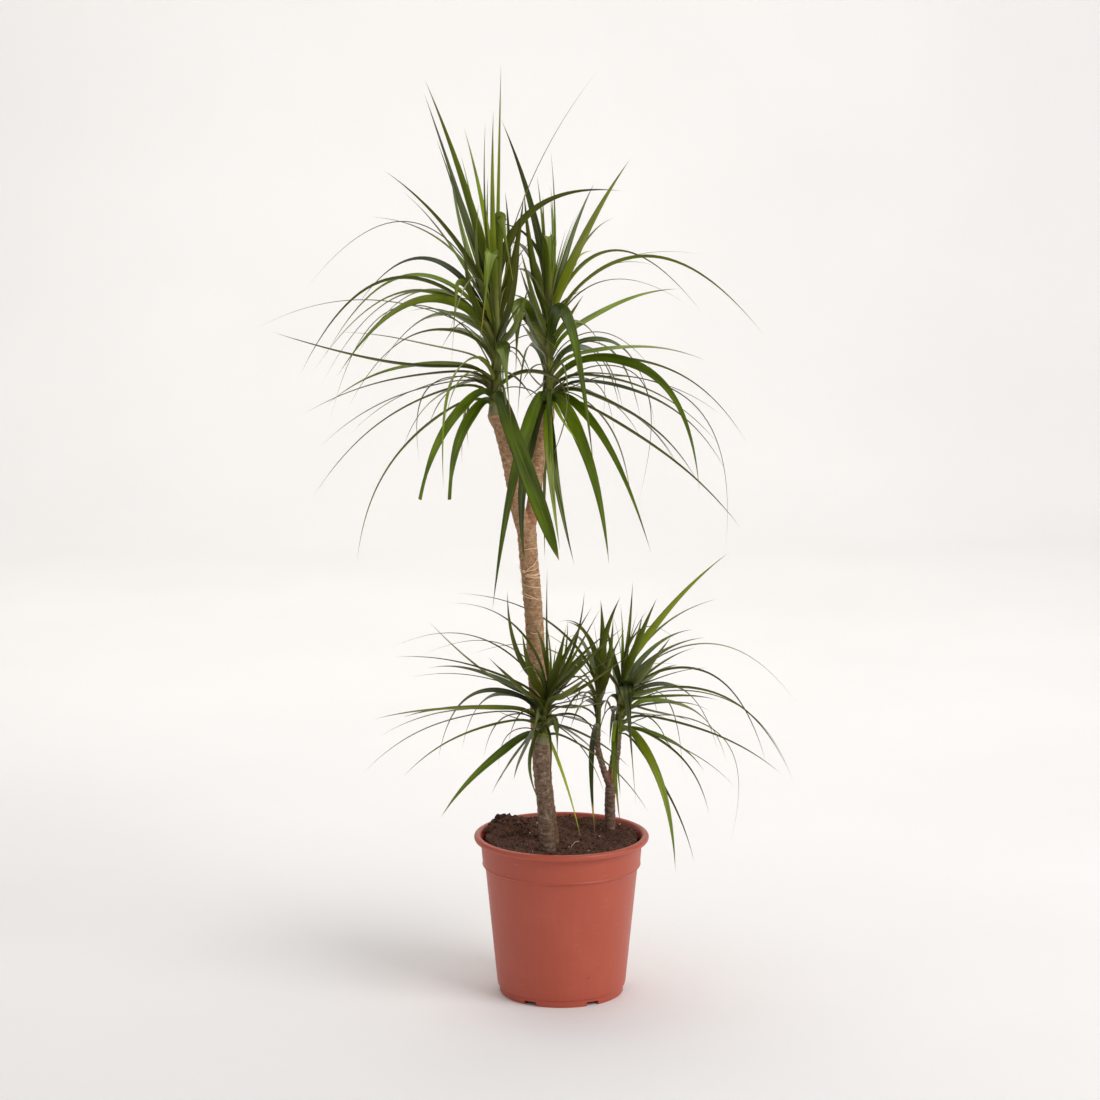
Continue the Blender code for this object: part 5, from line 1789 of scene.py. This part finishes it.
@dataclass
class Soil:
    """Peat in the pot: a crumbly surface with loose crumbs, perlite grains and fibres."""

    node: str = "soil"
    level: float = 182 * MM
    relief: float = 1.3 * MM
    heap: float = 12 * MM
    heap_place: Span = (-72 * MM, 42 * MM)
    heap_spread: float = 30 * MM
    banked: float = 9 * MM
    wall_radius: float = 89 * MM
    step: float = 1.5 * MM
    fibres: int = 50
    fibre_step: float = 1.7 * MM
    fibre_reach: float = 84 * MM
    foot_share: float = 74 / 89
    root: tuple[Triple, ...] = (
        (0.95, -4.2, 18.3), (1.2, -3.8, 18.8), (1.6, -3.2, 19.15), (2.0, -2.6, 19.1), (2.3, -2.1, 18.7),
    )

    def height(self, x: float, y: float) -> float:
        """The smooth height of the surface, which banks up towards the wall."""
        bank = self.banked * eased(0.45, 1, math.hypot(x, y) / self.wall_radius)
        away = (x - self.heap_place[0]) ** 2 + (y - self.heap_place[1]) ** 2
        heap = self.heap * math.exp(-away / self.heap_spread ** 2)
        broad = math.sin(170 * x + 1.1) * math.sin(150 * y + 0.4)
        return self.level + heap + bank + self.relief * (broad + 0.6 * math.sin(310 * x + 260 * y))

    def body(self) -> Mesh:
        """The closed body: a round grid for the surface, with a plain wall and underside."""
        low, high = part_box(self.node)
        radius = high.x + 1.5 * MM
        rings = round(radius / self.step)
        spokes = 3 * rings
        shape = bmesh.new()
        rows = []
        for i in range(1, rings + 1):
            r = radius * i / rings
            turns = [math.tau * k / spokes for k in range(spokes)]
            rows.append([(r * math.cos(t), r * math.sin(t)) for t in turns])
        middle = shape.verts.new((0, 0, self.height(0, 0)))
        loops = [[shape.verts.new((x, y, self.height(x, y))) for x, y in row] for row in rows]
        foot = Vector((0, 0, low.z))
        loops.append([
            shape.verts.new((x * self.foot_share, y * self.foot_share, low.z)) for x, y in rows[-1]])
        bottom = shape.verts.new(foot)
        for k in range(spokes):
            n = (k + 1) % spokes
            shape.faces.new((middle, loops[0][k], loops[0][n]))
            shape.faces.new((bottom, loops[-1][n], loops[-1][k]))
            for inner, outer in zip(loops, loops[1:]):
                shape.faces.new((inner[k], outer[k], outer[n], inner[n]))
        mesh = bpy.data.meshes.new("peat")
        shape.to_mesh(mesh)
        shape.free()
        return mesh

    def surface_recipe(self, finish: Material) -> Recipe:
        """A tree that roughens the surface into clods and crumbs."""
        recipe = Recipe("Crumbly surface")
        clod = recipe.size("Clod size", default=9 * MM)
        relief = recipe.size("Relief", default=5 * MM)
        floor = recipe.size("Surface from", default=self.level - 8 * MM)
        place = recipe.add("InputPosition")
        on_top = recipe.math("GREATER_THAN", recipe.parts(place)[2], floor)
        coarse = recipe.noise(place, 6.0, recipe.over(1.0, clod), Roughness=0.72)
        rise = recipe.times(recipe.minus(coarse, 0.5), relief)
        offset = recipe.point(z=recipe.times(rise, on_top))
        recipe.finish(recipe.add("SetPosition", {"Geometry": recipe.given, "Offset": offset}), finish)
        return recipe

    def grains_recipe(self, finish: Material) -> Recipe:
        """A tree that strews broken grains over the upward faces of a surface."""
        recipe = Recipe("Strewn grains")
        density = recipe.size("Grains per square metre", default=60000.0)
        smallest = recipe.size("Smallest", default=0.5 * MM)
        largest = recipe.size("Largest", default=1.7 * MM)
        facets = recipe.size("Facets", "NodeSocketInt", 1)
        seed = recipe.size("Seed", "NodeSocketInt", 3)
        reach = recipe.size("Reach from heap", default=1.0)
        place = recipe.add("InputPosition")
        upward = recipe.math("GREATER_THAN", recipe.parts(recipe.add("InputNormal"))[2], 0.35)
        from_heap = recipe.vector("DISTANCE", place, (*self.heap_place, self.level), output=1)
        wanted = recipe.times(upward, recipe.math("LESS_THAN", from_heap, reach))
        spots = recipe.add(
            "DistributePointsOnFaces",
            {"Mesh": recipe.given, "Density": density, "Seed": seed, "Selection": wanted})
        grain = recipe.add("MeshIcoSphere", {"Radius": 1.0, "Subdivisions": facets})
        broken = recipe.minus(recipe.noise(place, 2.0, 1.3), 0.4)
        pushed = recipe.scaled(place, recipe.times(broken, 1.3))
        rough = recipe.add("SetPosition", {"Geometry": grain, "Offset": pushed})
        turned = recipe.chance((0, 0, 0), (math.tau,) * 3, seed)
        sized = recipe.chance(smallest, largest, recipe.plus(seed, 1))
        squeezed = recipe.chance((0.7, 0.6, 0.45), (1.5, 1.1, 0.95), seed)
        scale = recipe.scaled(squeezed, sized)
        laid = recipe.add(
            "InstanceOnPoints", {"Points": spots, "Instance": rough, "Rotation": turned, "Scale": scale})
        shaded = recipe.stored(laid, "shade", recipe.chance(-0.22, 0.2, seed), "FLOAT", "INSTANCE")
        recipe.finish(shaded, finish)
        return recipe

    def fibre_lines(self, only_root: bool) -> Lines:
        """Loose fibres lying on the surface, or the one pale root that arches out of it."""
        draw = random.Random(9)
        lines = Lines()
        routes = []
        for _ in range(0 if only_root else self.fibres):
            angle, reach = draw.uniform(0, math.tau), self.fibre_reach * math.sqrt(draw.random())
            x, y = reach * math.cos(angle), reach * math.sin(angle)
            heading, bend = draw.uniform(0, math.tau), draw.uniform(-0.5, 0.5)
            count = draw.randint(5, 9)
            points = []
            for i in range(count):
                lift = 1.2 * MM + 1.8 * MM * math.sin(math.pi * i / (count - 1)) * draw.random()
                points.append(Vector((x, y, self.height(x, y) + lift)))
                heading += bend
                x += self.fibre_step * math.cos(heading)
                y += self.fibre_step * math.sin(heading)
                shrink = min(1, (self.fibre_reach + 2 * MM) / math.hypot(x, y))
                x, y = x * shrink, y * shrink
            routes.append((points, draw.uniform(0.12, 0.24) * MM))
        if only_root:
            routes.append(([Vector(p) * CM for p in self.root], 0.5 * MM))
        for points, radius in routes:
            last = len(points) - 1
            radii = [radius if 0 < i < last else 0.0 for i in range(last + 1)]
            lines.add(
                points, centre=points, side=Vector((0.7, 0.7, 0)), face=Vector((0, 0, 1)), half_width=radii,
                half_thick=radii, groove=0.0, share=[i / last for i in range(last + 1)],
                along=[i * self.fibre_step for i in range(last + 1)], seed=draw.random())
        return lines

    def build(self, pale: Recipe, brown: Recipe) -> list[Object]:
        """The soil's finished meshes.

        Args:
            pale: the ribbon tree in the root's finish.
            brown: the ribbon tree in the fibres' finish.

        Returns:
            The body, crumbs, clods, perlite, fibres and root.
        """
        peat, perlite = PEAT.build(), PERLITE.build()
        body = self.surface_recipe(peat).grow("peat_surface", self.body())
        faced_outwards(body.data)
        strewn = self.grains_recipe(peat)
        crumbs = strewn.grow("peat_crumbs", body.data.copy())
        clods = strewn.grow(
            "peat_clods", body.data.copy(), Grains_per_square_metre=16000.0, Smallest=1.4 * MM,
            Largest=3.4 * MM, Facets=2, Seed=8, Reach_from_heap=48 * MM)
        white = self.grains_recipe(perlite).grow(
            "perlite_grains", body.data.copy(), Grains_per_square_metre=450.0, Smallest=0.7 * MM,
            Largest=1.5 * MM, Facets=2, Seed=21)
        threads = brown.grow("peat_fibres", self.fibre_lines(False).mesh("fibres"), Section_points=6)
        root = pale.grow("pale_root", self.fibre_lines(True).mesh("root"), Section_points=6)
        for piece in (threads, root):
            faced_outwards(piece.data)
        return [body, crumbs, clods, white, threads, root]


# Pot


@dataclass
class Pot:
    """A round grower's pot with a rolled lip, a stepped collar and a notched foot ring."""

    node: str = "pot"
    height: float = 194 * MM
    lip_radius: float = 105 * MM
    lip_inner: float = 97.4 * MM
    lip_height: float = 7.5 * MM
    collar_top: float = 96.5 * MM
    collar_foot: float = 94.5 * MM
    collar_level: float = 156 * MM
    shoulder: float = 91.5 * MM
    wall_foot: float = 77 * MM
    wall: float = 2 * MM
    foot_radius: float = 75 * MM
    foot_width: float = 7 * MM
    foot_height: float = 9 * MM
    disc_radius: float = 29 * MM
    floor: float = 2 * MM
    segments: int = 168

    def rounded(self, corners: Sequence[Triple]) -> list[Span]:
        """The section's points, with each corner rounded.

        Args:
            corners: (radius, height, rounding) for each corner in order.

        Returns:
            The points, as (radius, height).
        """
        found = []
        for i, (x, z, size) in enumerate(corners):
            here = Vector((x, z))
            if not size or i in (0, len(corners) - 1):
                found.append((x, z))
                continue
            before = (Vector(corners[i - 1][:2]) - here)
            after = (Vector(corners[i + 1][:2]) - here)
            start = here + before.normalized() * min(size, before.length * 0.45)
            end = here + after.normalized() * min(size, after.length * 0.45)
            for k in range(5):
                t = k / 4
                point = start * (1 - t) ** 2 + here * 2 * t * (1 - t) + end * t ** 2
                found.append((point.x, point.y))
        return found

    def inner_radius(self, height: float) -> float:
        """The inside radius at a height."""
        share = (height - self.foot_height) / (self.collar_level - self.foot_height)
        return self.wall_foot + (self.shoulder - self.wall_foot) * share - self.wall

    def section(self) -> list[Span]:
        """The wall's section from the middle of the floor over the lip to the middle of the underside."""
        floor = self.foot_height + self.floor / 2
        inside = self.collar_level + self.wall
        lip = self.lip_height
        low = self.height - lip
        recess = floor - self.floor
        step = self.collar_level
        ring = self.foot_radius - self.foot_width
        # A corner: (radius, millimetres further out, height, millimetres further up, rounding in mm).
        corners = (
            (0, 0, floor, 0, 0),
            (self.inner_radius(floor + self.wall), 0, floor, 0, 2.5),
            (self.inner_radius(inside - self.wall), 0, inside - self.wall, 0, 1),
            (self.collar_foot - self.wall, 0, inside, 0, 1),
            (self.collar_top - self.wall, 0, low, 0, 1.5),
            (self.lip_inner, 0, self.height, -0.6, 1.6),
            (self.lip_inner, 3, self.height, 0, 1.6),
            (self.lip_radius, -1, self.height, -0.8, 3.2),
            (self.lip_radius, 0, self.height, -4, 2.4),
            (self.lip_radius, -1.5, low, 0, 2),
            (self.lip_radius, -4, low, 0.6, 1),
            (self.collar_top, 0.3, low, -0.2, 1.2),
            (self.collar_foot, 0, step, 2.4, 0.2),
            (self.collar_foot, 0.6, step, 1.6, 0.3),
            (self.collar_foot, -0.5, step, 0, 0.7),
            (self.shoulder, 0, step, -0.4, 1),
            (self.wall_foot, 0.6, self.foot_height, 5, 3),
            (self.wall_foot, -0.4, self.foot_height, 0, 0.9),
            (self.foot_radius, 0, self.foot_height, 0, 0.6),
            (self.foot_radius, -0.6, 0, 0, 1),
            (ring, 0, 0, 0, 1),
            (ring, 0, recess, 0, 1.2),
            (self.disc_radius, 1, recess, 0, 1.2),
            (self.disc_radius, 0, 0, 0, 0.8),
            (0, 0, 0, 0, 0),
        )
        return self.rounded([(r + out * MM, z + up * MM, size * MM) for r, out, z, up, size in corners])

    def recipe(self, finish: Material) -> Recipe:
        """A tree that turns the section round the axis, then cuts the foot's notches and the drain holes."""
        recipe = Recipe("Turned and notched pot")
        segments = recipe.size("Segments", "NodeSocketInt", self.segments)
        notches = recipe.size("Notches", "NodeSocketInt", 6)
        notch_width = recipe.size("Notch width", default=16 * MM)
        notch_height = recipe.size("Notch height", default=5 * MM)
        drain_radius = recipe.size("Drain radius", default=5 * MM)
        drain_circle = recipe.size("Drain circle", default=49 * MM)
        drain_turn = recipe.size("Drain turn", default=math.radians(10))

        def moved(geometry: Socket, radius: object, turn: object, up: object) -> Socket:
            """The geometry set to a radius, an angle and a height."""
            place = recipe.point(
                recipe.times(radius, recipe.math("COSINE", turn)),
                recipe.times(radius, recipe.math("SINE", turn)), up)
            return recipe.add("SetPosition", {"Geometry": geometry, "Position": place})

        wheel = recipe.add("CurvePrimitiveCircle", {"Resolution": segments, "Radius": 1.0})
        turn = recipe.times(recipe.add("SplineParameter"), math.tau)
        numbered = recipe.stored(wheel, "turn", turn, "FLOAT")
        outline = recipe.add("MeshToCurve", {"Mesh": recipe.given})
        skin = recipe.add("CurveToMesh", {"Curve": numbered, "Profile Curve": outline})
        drawn = recipe.parts(recipe.read("centre", "FLOAT_VECTOR"))
        turned = moved(skin, drawn[0], recipe.read("turn"), drawn[2])
        closed = recipe.add("MergeByDistance", {"Geometry": turned, "Distance": 0.01 * MM})

        step = recipe.over(recipe.plus(recipe.add("InputIndex"), 0.5), notches)
        angle = recipe.minus(recipe.times(step, math.tau), math.pi / 2)
        spots = recipe.add("MeshLine", {"Count": notches})
        notch_size = recipe.point(
            4 * self.foot_width, notch_width, recipe.times(notch_height, 2.0))
        blocks = recipe.add(
            "InstanceOnPoints",
            {"Points": moved(spots, self.foot_radius, angle, 0.0),
             "Instance": recipe.add("MeshCube", {"Size": notch_size}), "Rotation": recipe.point(z=angle)})
        drill = recipe.add(
            "MeshCylinder", {"Vertices": 28, "Radius": drain_radius, "Depth": 4 * self.floor})
        aside = recipe.plus(angle, drain_turn)
        drills = recipe.add(
            "InstanceOnPoints",
            {"Points": moved(spots, drain_circle, aside, self.foot_height), "Instance": drill})
        tools = recipe.add("JoinGeometry")
        for tool in (blocks, drills):
            recipe.tree.links.new(tool, tools.node.inputs[0])
        cut = recipe.add(
            "MeshBoolean", {"Mesh 1": closed, "Mesh 2": recipe.add("RealizeInstances", {0: tools})},
            operation="DIFFERENCE", solver="EXACT")
        recipe.finish(cut, finish)
        return recipe

    def build(self) -> Object:
        """The pot's finished mesh."""
        points = [Vector((r, 0, z)) for r, z in self.section()]
        lines = Lines()
        lines.add(points, centre=points)
        made = self.recipe(Moulded().build()).grow("pot_shell", lines.mesh("pot"))
        faced_outwards(made.data)
        made.data.set_sharp_from_angle(angle=math.radians(50))
        return made


# Studio


@dataclass(frozen=True)
class Lamp:
    """A square soft light: where it hangs, its side in metres, its watts and what it faces."""

    name: str
    place: Triple
    size: float
    watts: float
    tint: str
    aim: Triple = (0, 0, 0.5)

    def build(self) -> None:
        """Hangs the light."""
        data = bpy.data.lights.new(self.name, "AREA")
        data.shape = "SQUARE"
        data.size = self.size
        data.energy = self.watts
        data.color = srgb(self.tint)[:3]
        lamp = bpy.data.objects.new(self.name, data)
        lamp.location = self.place
        lamp.rotation_euler = (Vector(self.aim) - lamp.location).to_track_quat("-Z", "Y").to_euler()
        bpy.context.scene.collection.objects.link(lamp)


LAMPS = (
    Lamp("key", (3.4, -2.3, 3.2), 2.8, 147, "#fffcfa"),
    Lamp("fill", (-2.6, -2.4, 1.6), 2.6, 5, "#fffefc"),
    Lamp("overhead", (0.2, 0.0, 3.6), 2.0, 13, "#ffffff"),
    Lamp("backdrop", (-0.4, 1.9, 3.4), 3.0, 65, "#fffaf2", (-0.2, 3.7, 0.5)),
)


@dataclass
class Studio:
    """A seamless pale sweep, soft lights and the camera at the photograph's angle."""

    pitch: float = 0.168
    yaw: float = math.radians(0.2265)
    lens: float = 98.2
    floor_front: float = -3.2
    bend_start: float = 3.2
    bend_radius: float = 1.2
    half_width: float = 4.5
    wall_height: float = 4.5
    bend_steps: int = 16
    sky: str = "#f6f5f5"
    sky_strength: float = 0.43

    def sweep(self) -> Object:
        """The floor that curves up into the backdrop."""
        points = [(self.floor_front, 0.0), (self.bend_start, 0.0)]
        for i in range(1, self.bend_steps + 1):
            turn = math.pi / 2 * i / self.bend_steps
            points.append((self.bend_start + self.bend_radius * math.sin(turn),
                           self.bend_radius * (1 - math.cos(turn))))
        points.append((self.bend_start + self.bend_radius, self.wall_height))
        vertices = [(x, y, z) for y, z in points for x in (-self.half_width, self.half_width)]
        faces = [(i, i + 1, i + 3, i + 2) for i in range(0, len(vertices) - 2, 2)]
        mesh = bpy.data.meshes.new("sweep")
        mesh.from_pydata(vertices, [], faces)
        mesh.shade_smooth()
        mesh.materials.append(Painted().build())
        return link_mesh("floor", mesh)

    def build(self) -> None:
        """Sets the whole studio."""
        self.sweep()
        for lamp in LAMPS:
            lamp.build()
        world = bpy.data.worlds.new("studio")
        world.use_nodes = True
        feed(world.node_tree, world.node_tree.nodes["Background"],
             {"Color": srgb(self.sky), "Strength": self.sky_strength})
        bpy.context.scene.world = world
        bpy.context.scene.view_settings.view_transform = "Standard"
        data = bpy.data.cameras.new("camera")
        data.lens = self.lens
        data.sensor_width = 36
        data.clip_end = 50
        camera = bpy.data.objects.new("camera", data)
        camera.location = EYE
        camera.rotation_euler = (math.pi / 2 - self.pitch, 0, self.yaw)
        bpy.context.scene.collection.objects.link(camera)
        bpy.context.scene.camera = camera


def register(piece: Object, slot: str, *nodes: str) -> None:
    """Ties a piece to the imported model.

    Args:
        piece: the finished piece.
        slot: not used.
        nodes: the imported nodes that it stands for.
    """
    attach(piece, "root")
    if nodes:
        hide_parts(*nodes)
    LOG.info("%s: %d faces", piece.name, len(piece.data.polygons))


def main() -> None:
    """Builds every piece, reports it and sets the studio."""
    logging.basicConfig(level=logging.INFO, format="%(name)s %(message)s")
    nodes = frame["nodes"]
    obstacles = [nodes[name] for name in ("pot", "soil", "raffia_tie", *(cane.node for cane in CANES))]
    place_leaves(CROWNS, obstacles)
    leaf_recipe = ribbon_recipe(LeafBlade().build())
    for crown in CROWNS:
        register(crown.build(leaf_recipe), "leaf", crown.node)
    by_name = {crown.node: crown for crown in CROWNS}
    for cane in CANES:
        slot = "tan_bark" if cane.finish is TAN_BARK else "grey_bark"
        register(cane.build(by_name), slot, cane.node)
    fibre = ribbon_recipe(Fibre().build())
    tie = RaffiaTie()
    register(tie.build(fibre), "raffia", tie.node)
    soil = Soil()
    body, *loose = soil.build(fibre, ribbon_recipe(PEAT_FIBRE.build()))
    register(body, "peat", soil.node)
    for piece in loose:
        register(piece, "peat")
    pot = Pot()
    register(pot.build(), "pot_plastic", pot.node)
    Studio().build()


if __name__ == "__main__":
    main()
